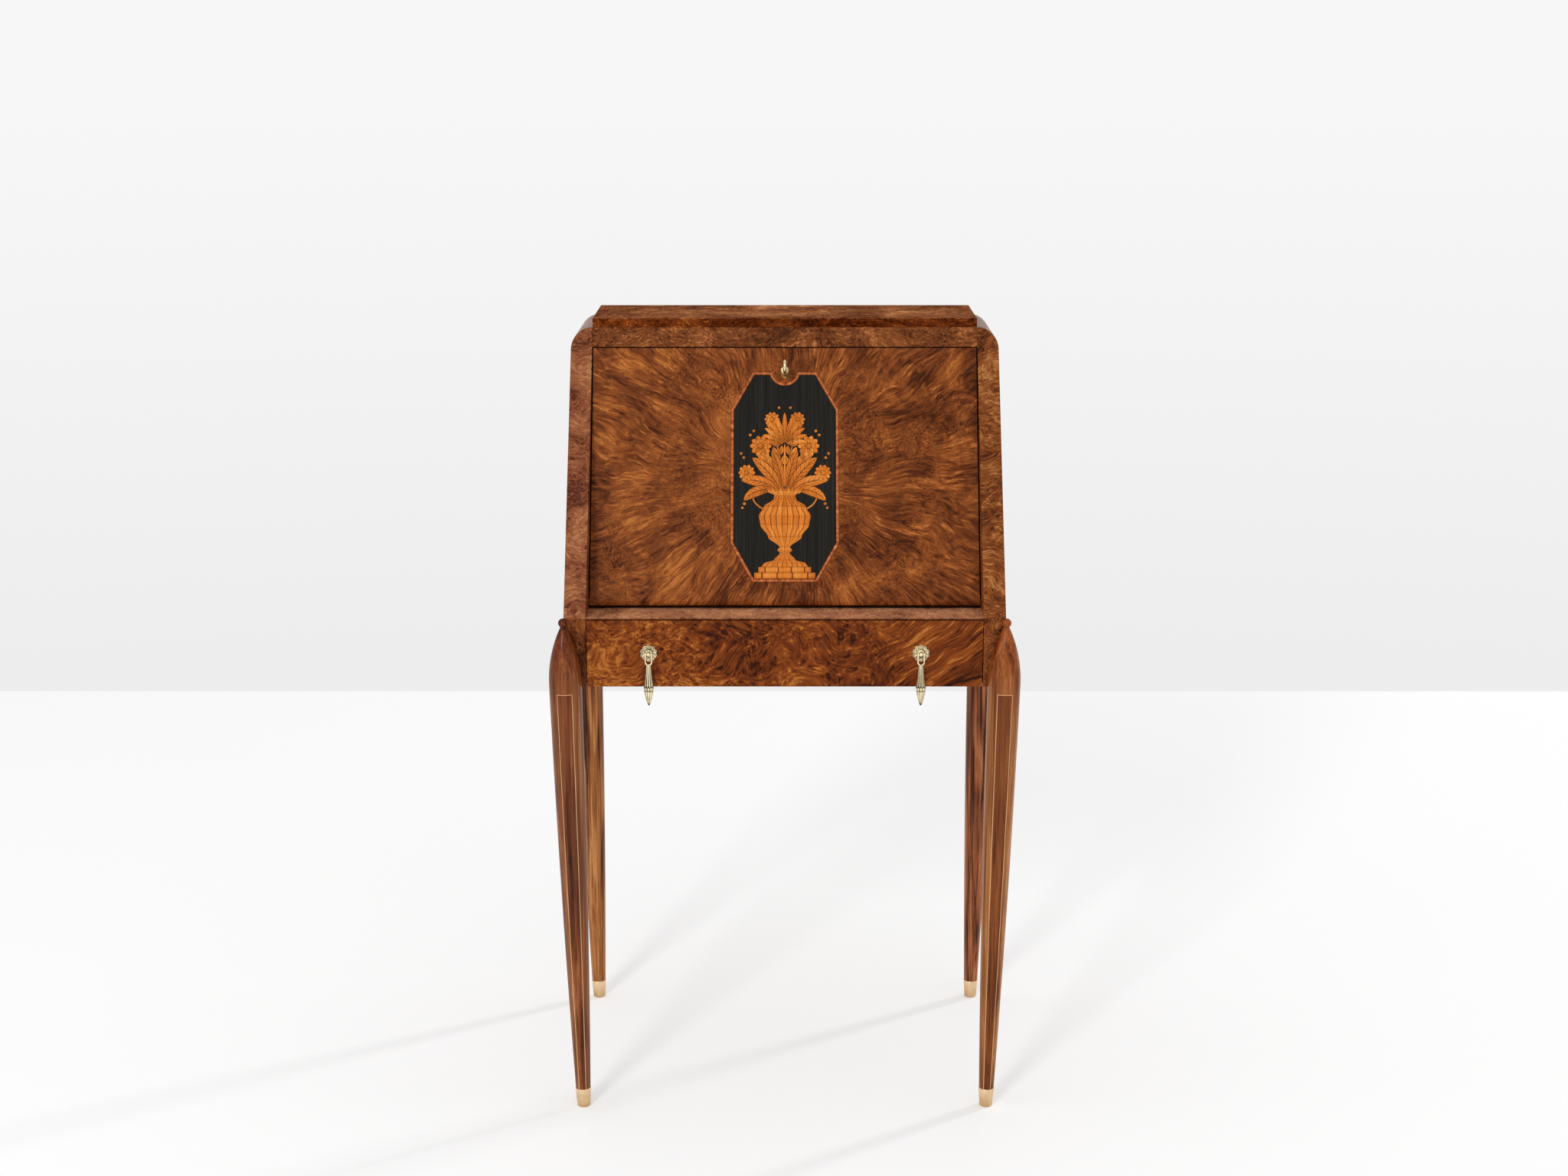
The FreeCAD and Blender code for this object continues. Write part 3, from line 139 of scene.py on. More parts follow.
class Graph:
    """The nodes of one material, or of the world."""

    def __init__(self, owner: bpy.types.Material | bpy.types.World, shader: str = "Principled BSDF") -> None:
        """Takes up an owner's nodes and its shader.

        Args:
            owner: the new material or world.
            shader: the name of the shader that it starts with.
        """
        owner.use_nodes = True
        self.tree = owner.node_tree
        self.shader = self.tree.nodes[shader]

    def add(self, kind: str, *values: Value, out: str = "", stops: tuple = (), **named: object) -> Socket:
        """Adds a node with its settings and links.

        Args:
            kind: the node's type without its ShaderNode prefix.
            values: values or other nodes' outputs for the sockets in use, in their order.
            out: the name of the wanted output, or nothing for the first in use.
            stops: positions and hex colours of a colour ramp.
            named: the node's settings in small letters, and sockets by name, which start with a capital.

        Returns:
            The wanted output socket.
        """
        node = self.tree.nodes.new("ShaderNode" + kind)
        for key, value in named.items():
            if key[0].islower():
                setattr(node, key, value)
        for socket, value in zip([socket for socket in node.inputs if socket.enabled], values):
            self.feed(socket, value)
        for key, value in named.items():
            if key[0].isupper():
                self.feed(node.inputs[key], value)
        if stops:
            ramp = node.color_ramp.elements
            while len(ramp) < len(stops):
                ramp.new(1.0)
            for element, (position, code) in zip(ramp, stops):
                element.position = position
                element.color = linear(code)
        return node.outputs[out] if out else next(socket for socket in node.outputs if socket.enabled)

    def feed(self, socket: Socket, value: Value) -> None:
        """Links a socket to another node's output, or sets it to a value.

        Args:
            socket: the input.
            value: the output or the value.
        """
        if isinstance(value, Socket):
            self.tree.links.new(value, socket)
        else:
            socket.default_value = value

    def shade(self, **sockets: Value) -> None:
        """Sets the shader's sockets, named with underscores for spaces."""
        for key, value in sockets.items():
            self.feed(self.shader.inputs[key.replace("_", " ")], value)

    def cover(self, share: Value, colour: Value, blend_type: str = "MIX") -> None:
        """Lays a colour over the shader's base colour.

        Args:
            share: where it lies, from 0 to 1.
            colour: the colour.
            blend_type: how the two mix.
        """
        under = self.shader.inputs["Base Color"].links[0].from_socket
        self.shade(Base_Color=self.add("Mix", share, under, colour, data_type="RGBA", blend_type=blend_type))

    def seen(self) -> Socket:
        """Tells what is shown from what only lights.

        Returns:
            1 where a ray comes from the eye, or through gloss or glass, and 0 elsewhere.
        """
        kinds = ("Camera", "Glossy", "Transmission")
        eye, gloss, glass = (self.add("LightPath", out=f"Is {kind} Ray") for kind in kinds)
        pair = self.add("Math", eye, gloss, operation="MAXIMUM")
        return self.add("Math", pair, glass, operation="MAXIMUM")

    def chart(self, name: str) -> tuple[Socket, Socket]:
        """The two coordinates of a surface's map, by the map's name."""
        place = self.add("UVMap", uv_map=name)
        return self.add("SeparateXYZ", place, out="X"), self.add("SeparateXYZ", place, out="Y")

    def millimetres(self) -> Socket:
        """The object's own coordinates in millimetres."""
        return self.add("VectorMath", self.add("TexCoord", out="Object"), 1 / MM, operation="SCALE")


@dataclass(frozen=True)
class FallPlane:
    """The slanted plane of the fall: its axis and its lean."""

    axis_y: float
    axis_z: float
    lean: float
    half_thickness: float = 10.0

    @classmethod
    def from_joints(cls, joints: dict[str, dict]) -> "FallPlane":
        """Reads the plane from the hinge of the fall and the axis of the key.

        Args:
            joints: the record's joints by name.

        Returns:
            The plane.
        """
        place = joints["fall_hinge"]["pos_m"]
        outward = joints["key_turn"]["axis"]
        return cls(place[1] / MM, place[2] / MM, math.atan2(outward[2], -outward[1]))

    def lay(self, across: np.ndarray, up: np.ndarray, proud: np.ndarray | float) -> np.ndarray:
        """Points of the outer face: along the axis, up the fall, and a little proud of the face.

        Args:
            across: distances from the middle of the desk.
            up: distances from the axis, up the fall.
            proud: height over the outer face.

        Returns:
            The points in the desk's frame.
        """
        inward = -self.half_thickness - proud
        y = self.axis_y + inward * math.cos(self.lean) + up * math.sin(self.lean)
        z = self.axis_z - inward * math.sin(self.lean) + up * math.cos(self.lean)
        return together(across, y, z)

    def flatten(self, graph: Graph) -> Socket:
        """Turns object coordinates into the fall's own.

        Args:
            graph: the material's nodes.

        Returns:
            The position across, inward and up, in millimetres.
        """
        level = self.axis_y * math.cos(self.lean) - self.axis_z * math.sin(self.lean)
        height = self.axis_y * math.sin(self.lean) + self.axis_z * math.cos(self.lean)
        place = graph.add("TexCoord", out="Object")
        return graph.add("Mapping", place, (0.0, -level, -height), (self.lean, 0.0, 0.0), (1 / MM,) * 3)


MADE: dict[str, bpy.types.Material] = {}


class Finish:
    """A surface finish that becomes one material."""

    name: str

    def paint(self, graph: Graph) -> None:
        """Builds the finish's nodes."""
        raise NotImplementedError

    def material(self) -> bpy.types.Material:
        """Makes the finish's material on first use.

        Returns:
            The material.
        """
        if self.name not in MADE:
            MADE[self.name] = bpy.data.materials.new(self.name)
            self.paint(Graph(MADE[self.name]))
        return MADE[self.name]


@dataclass(frozen=True)
class Veneer(Finish):
    """Polished wood: a figure from 0 to 1 that picks among five tones, with fine pores under a thin polish.

    Real pores are about 0.2 mm wide. They wouldn't show in the render, so pore draws them coarser.
    """

    name: str
    tones: Tones
    spread: Pair = (0.2, 0.8)
    roughness: float = 0.32
    specular: float = 0.05
    coat: float = 0.03
    coat_roughness: float = 0.08
    pore: float = 1.1

    def figure(self, graph: Graph) -> Socket:
        """The figure of the wood, from dark at 0 to light at 1."""
        raise NotImplementedError

    def ramp(self, graph: Graph, tones: Tones) -> Socket:
        """Picks a tone for each point of the figure.

        Args:
            graph: the material's nodes.
            tones: the tones, from dark to light.

        Returns:
            The colour's socket.
        """
        value = graph.add("MapRange", self.figure(graph), *self.spread)
        return graph.add("ValToRGB", value, stops=tuple(zip(TONE_PLACES, tones)))

    def paint(self, graph: Graph) -> None:
        """Ramps the figure through the tones and adds pores, which darken and dent the polish a little.

        Args:
            graph: the material's nodes.
        """
        tone = self.ramp(graph, self.tones)
        pores = graph.add("TexNoise", graph.millimetres(), Scale=1 / self.pore, Detail=2.0)
        speckle = graph.add("MapRange", pores, 0.3, 0.62, 0.72, 1.06)
        shaded = graph.add("Mix", 1.0, tone, speckle, data_type="RGBA", blend_type="MULTIPLY")
        bump = graph.add("Bump", Strength=0.04, Distance=0.0002, Height=pores)
        graph.shade(Base_Color=shaded, Roughness=self.roughness, Specular_IOR_Level=self.specular,
                    Coat_Weight=self.coat, Coat_Roughness=self.coat_roughness, Normal=bump)


def blend(graph: Graph, *shares: tuple[Socket, float]) -> Socket:
    """Adds figures that average a half, each with its own weight, so that the sum averages a half too.

    Args:
        graph: the material's nodes.
        shares: pairs of a figure's socket and its weight.

    Returns:
        The sum's socket.
    """
    total = 0.5 - sum(weight for _, weight in shares) / 2
    for socket, weight in shares:
        total = graph.add("Math", socket, weight, total, operation="MULTIPLY_ADD")
    return total


def push(graph: Graph, place: Socket, span: float, throw: float) -> Socket:
    """Pushes a position aside by noise.

    Args:
        graph: the material's nodes.
        place: the position in millimetres.
        span: size of the noise.
        throw: how far it pushes.

    Returns:
        The pushed position.
    """
    noise = graph.add("TexNoise", place, Scale=1 / span, Detail=1.0, out="Color")
    centred = graph.add("VectorMath", noise, (0.5,) * 3, operation="SUBTRACT")
    return graph.add("VectorMath", centred, (throw,) * 3, place, operation="MULTIPLY_ADD")


def strokes(graph: Graph, noise: Socket, bundles: Value, gain: float) -> Socket:
    """Sparse strokes, bright and dark, where noise strays from its middle: the cube of six times the stray.

    Args:
        graph: the material's nodes.
        noise: the noise that draws the strokes.
        bundles: where the strokes gather, from 0 to 1.
        gain: how strong they are.

    Returns:
        What the strokes add to a figure.
    """
    limit = 1.6
    stray = graph.add("Math", noise, 6.0, -3.0, operation="MULTIPLY_ADD")
    cubed = graph.add("Math", stray, 3.0, operation="POWER")
    held = graph.add("Math", cubed, limit, operation="MINIMUM")
    deep = graph.add("Math", held, -limit, operation="MAXIMUM")
    strong = graph.add("Math", deep, gain, operation="MULTIPLY")
    return graph.add("Math", strong, bundles, operation="MULTIPLY")


def growth_lines(graph: Graph, noise: Socket, count: float) -> Socket:
    """Nested lines that follow a noise's level, as growth lines follow a swirl: a sine of the level.

    Args:
        graph: the material's nodes.
        noise: the noise.
        count: lines from the noise's lowest level to its highest.

    Returns:
        The lines' socket, from 0 to 1.
    """
    turns = graph.add("Math", noise, 2 * math.pi * count, operation="MULTIPLY")
    wave = graph.add("Math", turns, operation="SINE")
    return graph.add("Math", wave, 0.5, 0.5, operation="MULTIPLY_ADD")


def drawn_out(graph: Graph, place: Socket, size: Pair, grain: Grain, detail: float,
              wander: float = 0.0) -> Socket:
    """Noise that is narrow across the grain and long along it.

    Args:
        graph: the material's nodes.
        place: the position in millimetres.
        size: width and length of a streak.
        grain: the way of the grain.
        detail: levels of finer detail.
        wander: how far the streaks stray.

    Returns:
        The noise's socket.
    """
    scale = tuple(along / size[1] + (1 - along) / size[0] for along in grain.value)
    stretched = graph.add("VectorMath", place, scale, operation="MULTIPLY")
    return graph.add("TexNoise", stretched, Scale=1.0, Detail=detail, Distortion=wander)


def burr_figure(graph: Graph, place: Socket, cloud: float, curl: float, eye: float,
                stretch: Triple = (1.0, 1.0, 1.0)) -> Socket:
    """The figure of burr wood: clouds, grain swept round into curls, dark eyes in clusters, short flecks.

    Args:
        graph: the material's nodes.
        place: the position in millimetres.
        cloud: size of the clouds.
        curl: size of the curls.
        eye: distance between eyes.
        stretch: how much longer the curls and flecks are along each axis.

    Returns:
        The figure's socket, about 0.5 on average.
    """
    swept = push(graph, push(graph, place, cloud, cloud * 0.9), curl * 1.6, curl * 0.8)
    drawn = graph.add("VectorMath", swept, tuple(1 / axis for axis in stretch), operation="MULTIPLY")
    clouds = graph.add("TexNoise", swept, Scale=1 / cloud, Detail=2.0)
    curls = graph.add("TexNoise", drawn, Scale=1 / curl, Detail=4.0, Roughness=0.6, Distortion=1.2)
    flecks = graph.add("TexNoise", drawn, Scale=3.6 / curl, Detail=2.0, Distortion=0.8)
    swirl = graph.add("TexNoise", drawn, Scale=0.45 / curl, Detail=1.5, Distortion=0.8)
    lines = growth_lines(graph, swirl, 13.0)
    mixed = blend(graph, (clouds, 0.95), (curls, 0.75), (flecks, 0.4), (lines, 0.14))
    # Each eye is a dark spot with a few rings round it, and eyes show only where the clouds are dark.
    knots = graph.add("TexVoronoi", swept, Scale=1 / eye)
    dark = graph.add("MapRange", knots, 0.08, 0.3, -0.22, 0.0, interpolation_type="SMOOTHSTEP")
    close_by = graph.add("MapRange", knots, 0.2, 0.5, 0.34, 0.0)
    rings = graph.add("Math", growth_lines(graph, knots, 3.2), 0.5, operation="SUBTRACT")
    eyes = graph.add("Math", rings, close_by, dark, operation="MULTIPLY_ADD")
    groups = graph.add("MapRange", clouds, 0.42, 0.56, 1.0, 0.0)
    eyed = graph.add("Math", eyes, groups, mixed, operation="MULTIPLY_ADD")
    return graph.add("Math", eyed, strokes(graph, flecks, 1.0, 0.1))


@dataclass(frozen=True)
class BurrWalnut(Veneer):
    """Burr walnut veneer, French polished: clouds, curls and clustered eyes in warm browns."""

    cloud: float = 60.0
    curl: float = 15.0
    eye: float = 13.0
    stretch: Triple = (1.0, 1.0, 1.0)

    def figure(self, graph: Graph) -> Socket:
        """Burr all through, drawn out along the axes that stretch is long in."""
        return burr_figure(graph, graph.millimetres(), self.cloud, self.curl, self.eye, self.stretch)


@dataclass(frozen=True, kw_only=True)
class EdgedBurr(BurrWalnut):
    """Burr walnut with another sheet of veneer on one face: all that lies past a level along an axis."""

    sheet: Tones
    axis: Triple
    level: float

    def paint(self, graph: Graph) -> None:
        """Dresses the board, then ramps the same kind of figure through the sheet's tones past the level.

        Args:
            graph: the material's nodes.
        """
        super().paint(graph)
        reach = graph.add("VectorMath", graph.millimetres(), self.axis, operation="DOT_PRODUCT")
        past = graph.add("Math", reach, self.level, operation="GREATER_THAN")
        graph.cover(past, self.ramp(graph, self.sheet))


@dataclass(frozen=True, kw_only=True)
class SunburstWalnut(Veneer):
    """Burr walnut laid so that its grain fans out like rays from the middle of the fall.

    The eye sees flames of gold and dark brown that lead to the inlaid panel. A painted shadow lies dark along the
    rim, where the fall meets its frame, and under the rounded foot, standing for the shade in the gap. drift
    and ripple are a size and a throw; broad, narrow and hair a count over two pi and a length; heart the
    reach between which burr gives way to rays; light what the left and the right end add.
    """

    plane: FallPlane
    middle: float = 177.0
    drift: Pair = (130.0, 62.0)
    ripple: Pair = (30.0, 9.0)
    cloud: float = 58.0
    bundle: float = 30.0
    broad: Pair = (8.0, 70.0)
    narrow: Pair = (30.0, 34.0)
    hair: Pair = (56.0, 42.0)
    burr: Triple = (60.0, 11.0, 11.0)
    patch: float = 90.0
    heart: Pair = (100.0, 220.0)
    light: Pair = (0.045, -0.04)
    half_width: float = 275.2
    top: float = 366.43
    foot: float = -8.2
    rim: float = 1.3
    rim_depth: float = 0.4
    # Painted shadow of the gap round the fall's rim and under its rounded foot.
    gap_shade: str = "#1a0b05"

    def rays(self, graph: Graph, turn: Socket, reach: Socket, size: Pair, detail: float) -> Socket:
        """Noise drawn out along the rays: direction times a count, against distance over a length.

        Args:
            graph: the material's nodes.
            turn: the ray's direction.
            reach: distance from the middle.
            size: count of rays round the circle over two pi, and their length.
            detail: levels of finer detail.

        Returns:
            The noise's socket.
        """
        along = graph.add("Math", reach, 1 / size[1], operation="MULTIPLY")
        column = graph.add("CombineXYZ", Y=along)
        spread = graph.add("VectorMath", turn, (size[0],) * 3, column, operation="MULTIPLY_ADD")
        return graph.add("TexNoise", spread, Scale=1.0, Detail=detail, Roughness=0.66, Distortion=0.25)

    def figure(self, graph: Graph) -> Socket:
        """Rays that wander a little, with thin dark veins and bundles of strokes, and burr near the middle.

        Args:
            graph: the material's nodes.

        Returns:
            The figure's socket.
        """
        outer_face = (1.0, 0.0, 1.0)
        face = graph.add("VectorMath", self.plane.flatten(graph), outer_face, operation="MULTIPLY")
        bent = push(graph, push(graph, face, *self.drift), *self.ripple)
        ray = graph.add("VectorMath", bent, (0.0, 0.0, self.middle), operation="SUBTRACT")
        ray = graph.add("VectorMath", ray, outer_face, operation="MULTIPLY")
        reach = graph.add("VectorMath", ray, operation="LENGTH")
        turn = graph.add("VectorMath", ray, operation="NORMALIZE")
        broad = self.rays(graph, turn, reach, self.broad, 2.0)
        narrow = self.rays(graph, turn, reach, self.narrow, 5.0)
        hairs = self.rays(graph, turn, reach, self.hair, 3.0)
        clouds = graph.add("TexNoise", bent, Scale=1 / self.cloud, Detail=3.0)
        lines = growth_lines(graph, broad, 9.0)
        ground = blend(graph, (clouds, 0.8), (broad, 0.6), (narrow, 0.85), (hairs, 0.5), (lines, 0.12))
        veins = graph.add("MapRange", growth_lines(graph, narrow, 3.0), 0.0, 0.16, -0.16, 0.0)
        veined = graph.add("Math", ground, veins)
        gather = graph.add("TexNoise", bent, Scale=1 / self.bundle, Detail=1.0)
        bundles = graph.add("MapRange", gather, 0.4, 0.58)
        fan = graph.add("Math", veined, strokes(graph, hairs, bundles, 0.22))
        patches = graph.add("TexNoise", face, Scale=1 / self.patch, Detail=2.0)
        zone = graph.add("Math", patches, graph.add("MapRange", reach, *self.heart, 0.1, -0.08))
        share = graph.add("MapRange", zone, 0.46, 0.62, 0.06, 0.8)
        wood = graph.add("Mix", share, fan, burr_figure(graph, face, *self.burr))
        across = graph.add("SeparateXYZ", face, out="X")
        return graph.add("Math", wood, graph.add(
            "MapRange", across, -self.half_width, self.half_width, *self.light))

    def paint(self, graph: Graph) -> None:
        """Dresses the board, then lays a painted shadow near the edges of its outer face and under its rounded
        foot.

        Args:
            graph: the material's nodes.
        """
        super().paint(graph)
        flat = self.plane.flatten(graph)
        across, inward, up = (graph.add("SeparateXYZ", flat, out=axis) for axis in "XYZ")
        wide = graph.add("Math", across, operation="ABSOLUTE")
        side = graph.add("Math", wide, self.half_width - self.rim, operation="SUBTRACT")
        head = graph.add("Math", up, self.top - self.rim, operation="SUBTRACT")
        under = graph.add("Math", self.foot, up, operation="SUBTRACT")
        outer = graph.add("Math", self.rim_depth - self.plane.half_thickness, inward, operation="SUBTRACT")
        near = graph.add("Math", side, head, operation="MAXIMUM")
        near = graph.add("Math", near, outer, operation="MINIMUM")
        near = graph.add("Math", near, under, operation="MAXIMUM")
        # Painted shadow: the outer face darkens along its edges and under its foot, where the gap is.
        graph.cover(graph.add("Math", near, 0.0, operation="GREATER_THAN"), linear(self.gap_shade))


@dataclass(frozen=True)
class FlameWalnut(Veneer):
    """Burr walnut that runs out into a slanting flame towards the right end of the drawer."""

    burr: Triple = (85.0, 19.0, 15.0)
    stretch: Triple = (1.5, 1.5, 1.0)
    bend: Pair = (80.0, 60.0)
    flame: Pair = (95.0, 200.0)
    slant: float = math.radians(38.0)
    streak: Pair = (16.0, 150.0)
    vein_foot: Pair = (215.0, 624.0)
    vein_slope: float = 0.27
    vein_width: float = 1.3
    vein_waver: Pair = (26.0, 9.0)

    def vein(self, graph: Graph, place: Socket) -> Socket:
        """A dark vein that climbs to the right: the height over a sloping, wavering line.

        Args:
            graph: the material's nodes.
            place: the position in millimetres.

        Returns:
            What the vein takes from the figure.
        """
        height = graph.add("SeparateXYZ", push(graph, place, *self.vein_waver), out="Z")
        level = self.vein_foot[1] - self.vein_slope * self.vein_foot[0]
        across = graph.add("SeparateXYZ", place, out="X")
        line = graph.add("Math", across, self.vein_slope, level, operation="MULTIPLY_ADD")
        over = graph.add("Math", height, line, operation="SUBTRACT")
        away = graph.add("Math", over, operation="ABSOLUTE")
        return graph.add("MapRange", away, self.vein_width / 2, self.vein_width * 2, -0.4, 0.0)

    def figure(self, graph: Graph) -> Socket:
        """Burr at the left, long slanting streaks past the start of the flame, and a vein at the foot.

        Args:
            graph: the material's nodes.

        Returns:
            The figure's socket.
        """
        place = graph.millimetres()
        burr = burr_figure(graph, place, *self.burr, self.stretch)
        bent = push(graph, place, *self.bend)
        slanted = graph.add("Mapping", bent, Rotation=(0.0, self.slant, 0.0))
        width, length = self.streak
        drawn = graph.add("VectorMath", slanted, (1 / length, 1 / length, 1 / width), operation="MULTIPLY")
        broad = graph.add("TexNoise", drawn, Scale=1.0, Detail=2.0, Distortion=0.6)
        narrow = graph.add("TexNoise", drawn, Scale=5.0, Detail=3.0)
        ground = blend(graph, (broad, 0.9), (narrow, 0.5))
        flame = graph.add("Math", ground, strokes(graph, narrow, 1.0, 0.25))
        share = graph.add("MapRange", graph.add("SeparateXYZ", bent, out="X"), *self.flame, 0.04, 0.85)
        return graph.add("Math", graph.add("Mix", share, burr, flame), self.vein(graph, place))


@dataclass(frozen=True)
class StraightWood(Veneer):
    """Straight-grained wood: long streaks along the grain and finer lines in them."""

    grain: Grain = Grain.UPRIGHT
    streak: Pair = (10.0, 420.0)
    line: Pair = (1.8, 150.0)
    wander: float = 0.4

    def figure(self, graph: Graph) -> Socket:
        """Broad streaks and fine lines.

        Args:
            graph: the material's nodes.

        Returns:
            The figure's socket.
        """
        place = graph.millimetres()
        streaks = drawn_out(graph, place, self.streak, self.grain, 3.0, self.wander)
        lines = drawn_out(graph, place, self.line, self.grain, 2.0, self.wander)
        return blend(graph, (streaks, 0.85), (lines, 0.5))


@dataclass(frozen=True)
class StringedWalnut(StraightWood):
    """Turned leg walnut, polished, with a long panel let in: darker wood inside a pale string line.

    The surface's map gives the distance from the string line round the leg, and the height, in metres.
    """

    string: str = "#d6a57c"
    panel: str = "#dcc8be"
    string_width: float = 1.0
    top: float = 621.0
    shoulder: Pair = (590.0, 690.0)
    shade: str = "#d9bfae"

    def paint(self, graph: Graph) -> None:
        """Dresses the leg, then lays the dark panel, the string line and the shoulder's shade over it.

        Args:
            graph: the material's nodes.
        """
        super().paint(graph)
        aside, height = graph.chart("stringing")
        over = graph.add("Math", height, self.top * MM, operation="SUBTRACT")
        edge = graph.add("Math", aside, over, operation="MAXIMUM")
        inside = graph.add("Math", edge, 0.0, operation="LESS_THAN")
        away = graph.add("Math", edge, operation="ABSOLUTE")
        line = graph.add("Math", away, self.string_width / 2 * MM, operation="LESS_THAN")
        low, high = self.shoulder
        graph.cover(inside, linear(self.panel), "MULTIPLY")
        graph.cover(line, linear(self.string))
        graph.cover(graph.add("MapRange", height, low * MM, high * MM), linear(self.shade), "MULTIPLY")


@dataclass(frozen=True, kw_only=True)
class Ebony(Veneer):
    """Ebonised veneer: near black, with fine upright lines that catch a little light.

    Real lines are finer than the render shows, so line draws them coarser.
    """

    plane: FallPlane
    line: Pair = (1.6, 120.0)

    def figure(self, graph: Graph) -> Socket:
        """Fine lines up the fall."""
        return drawn_out(graph, self.plane.flatten(graph), self.line, Grain.UPRIGHT, 3.0)


@dataclass(frozen=True)
class Crossbanding(Veneer):
    """A border of veneer strips whose short grain runs across the border, with a dark line at each edge.

    Real grain lines are finer than the render shows, so rib draws them coarser.
    """

    rib: float = 1.4
    block: float = 6.5

    def figure(self, graph: Graph) -> Socket:
        """Lines across the border, uneven from strip to strip; the map runs along and across it.

        Args:
            graph: the material's nodes.

        Returns:
            The figure's socket.
        """
        along, across = graph.chart("run")
        fine, strips = (
            graph.add("TexNoise", along, Scale=1 / (size * MM), Detail=detail, noise_dimensions="1D")
            for size, detail in ((self.rib, 2.0), (self.block, 0.0)))
        grain = graph.add("Mix", 0.5, fine, strips)
        middle = graph.add("Math", across, 0.5, operation="SUBTRACT")
        away = graph.add("Math", middle, operation="ABSOLUTE")
        return graph.add("Math", grain, graph.add("MapRange", away, 0.36, 0.46, 0.0, -0.5))


@dataclass(frozen=True, kw_only=True)
class Satinwood(Veneer):
    """Satinwood let into ebony: warm orange, scorched dark towards the root of each piece, engraved lines.

    Its real grain is finer than the render shows, so grain draws it coarser.
    """

    plane: FallPlane
    engraving: Engraving
    grain: Pair = (2.0, 60.0)
    rim: float = 0.88
    stroke: float = 0.08
    ink: str = "#4a2410"
    ink_share: float = 0.8

    def figure(self, graph: Graph) -> Socket:
        """Fine upright grain, each piece a tone of its own, scorched towards its root.

        Args:
            graph: the material's nodes.

        Returns:
            The figure's socket.
        """
        grain = drawn_out(graph, self.plane.flatten(graph), self.grain, Grain.UPRIGHT, 3.0)
        tone = graph.add("Attribute", out="Fac", attribute_name="tone")
        along, across = graph.chart("leaf")
        scorch = graph.add("MapRange", along, 0.0, 0.55, -0.2, 0.0, interpolation_type="SMOOTHSTEP")
        shade = graph.add("MapRange", across, -0.2, 0.2, 0.05, -0.05)
        lit = graph.add("Math", blend(graph, (grain, 0.6), (tone, 1.0)), shade)
        return graph.add("Math", lit, scorch)

    def lines(self, graph: Graph, along: Socket, away: Socket) -> Socket:
        """Where the engraver cut, from the shares along and away from the middle of a piece.

        Args:
            graph: the material's nodes.
            along: share along the piece.
            away: share from its middle to its edge.

        Returns:
            A socket that is 1 on a line.
        """
        if self.engraving is Engraving.PETAL:
            part = graph.add("Math", away, 0.34, operation="SUBTRACT")
            near = graph.add("Math", part, operation="ABSOLUTE")
            cut = graph.add("Math", near, 0.07, operation="LESS_THAN")
            short = graph.add("Math", along, 0.62, operation="LESS_THAN")
            return graph.add("Math", cut, short, operation="MULTIPLY")
        rib = graph.add("Math", away, self.stroke, operation="LESS_THAN")
        if self.engraving is Engraving.JOINT:
            return rib
        slanted = graph.add("Math", away, -0.2, along, operation="MULTIPLY_ADD")
        turns = graph.add("Math", slanted, 7.0, operation="MULTIPLY")
        part = graph.add("Math", turns, operation="FRACT")
        veins = graph.add("Math", part, 0.13, operation="LESS_THAN")
        return graph.add("Math", veins, rib, operation="MAXIMUM")

    def paint(self, graph: Graph) -> None:
        """Dresses the pieces, then draws the engraver's lines and the cut line round each piece.

        Args:
            graph: the material's nodes.
        """
        super().paint(graph)
        along, across = graph.chart("leaf")
        away = graph.add("Math", across, operation="ABSOLUTE")
        rim = graph.add("Math", away, self.rim, operation="GREATER_THAN")
        drawn = graph.add("Math", self.lines(graph, along, away), rim, operation="MAXIMUM")
        graph.cover(graph.add("Math", drawn, self.ink_share, operation="MULTIPLY"), linear(self.ink))


@dataclass(frozen=True)
class Brass(Finish):
    """Cast or turned brass, worn bright on what stands proud and dark in the hollows, where patina and painted
    shade lie.

    Where hollows is set, the surface's own attribute says how deep each point lies, or for a shoe how near the
    floor, and so how much patina and painted shade it takes. Real scratches are hair fine, so scratch draws them
    coarser.
    """

    name: str
    bright: str
    dark: str
    roughness: float
    hollows: bool = False
    cloud: float = 9.0
    scratch: float = 0.6

    def paint(self, graph: Graph) -> None:
        """Mixes the bright metal with its patina by cloud, and with patina and painted shade by hollow.

        Args:
            graph: the material's nodes.
        """
        place = graph.millimetres()
        clouds = graph.add("TexNoise", place, Scale=1 / self.cloud, Detail=4.0)
        patina_and_shade = graph.add("MapRange", clouds, 0.45, 0.75, 0.0, 0.35)
        # Patina and painted shade in the hollows, or towards a shoe's foot.
        if self.hollows:
            depth = graph.add("Attribute", out="Fac", attribute_name="hollow")
            patina_and_shade = graph.add("Math", patina_and_shade, depth, use_clamp=True)
        colour = graph.add("Mix", patina_and_shade, linear(self.bright), linear(self.dark), data_type="RGBA")
        rough = graph.add("MapRange", patina_and_shade, 0.0, 1.0, self.roughness, self.roughness + 0.25)
        scratches = graph.add("TexNoise", place, Scale=1 / self.scratch, Detail=2.0)
        bump = graph.add("Bump", Strength=0.05, Distance=0.0001, Height=scratches)
        graph.shade(Base_Color=colour, Metallic=1.0, Roughness=rough, Normal=bump)


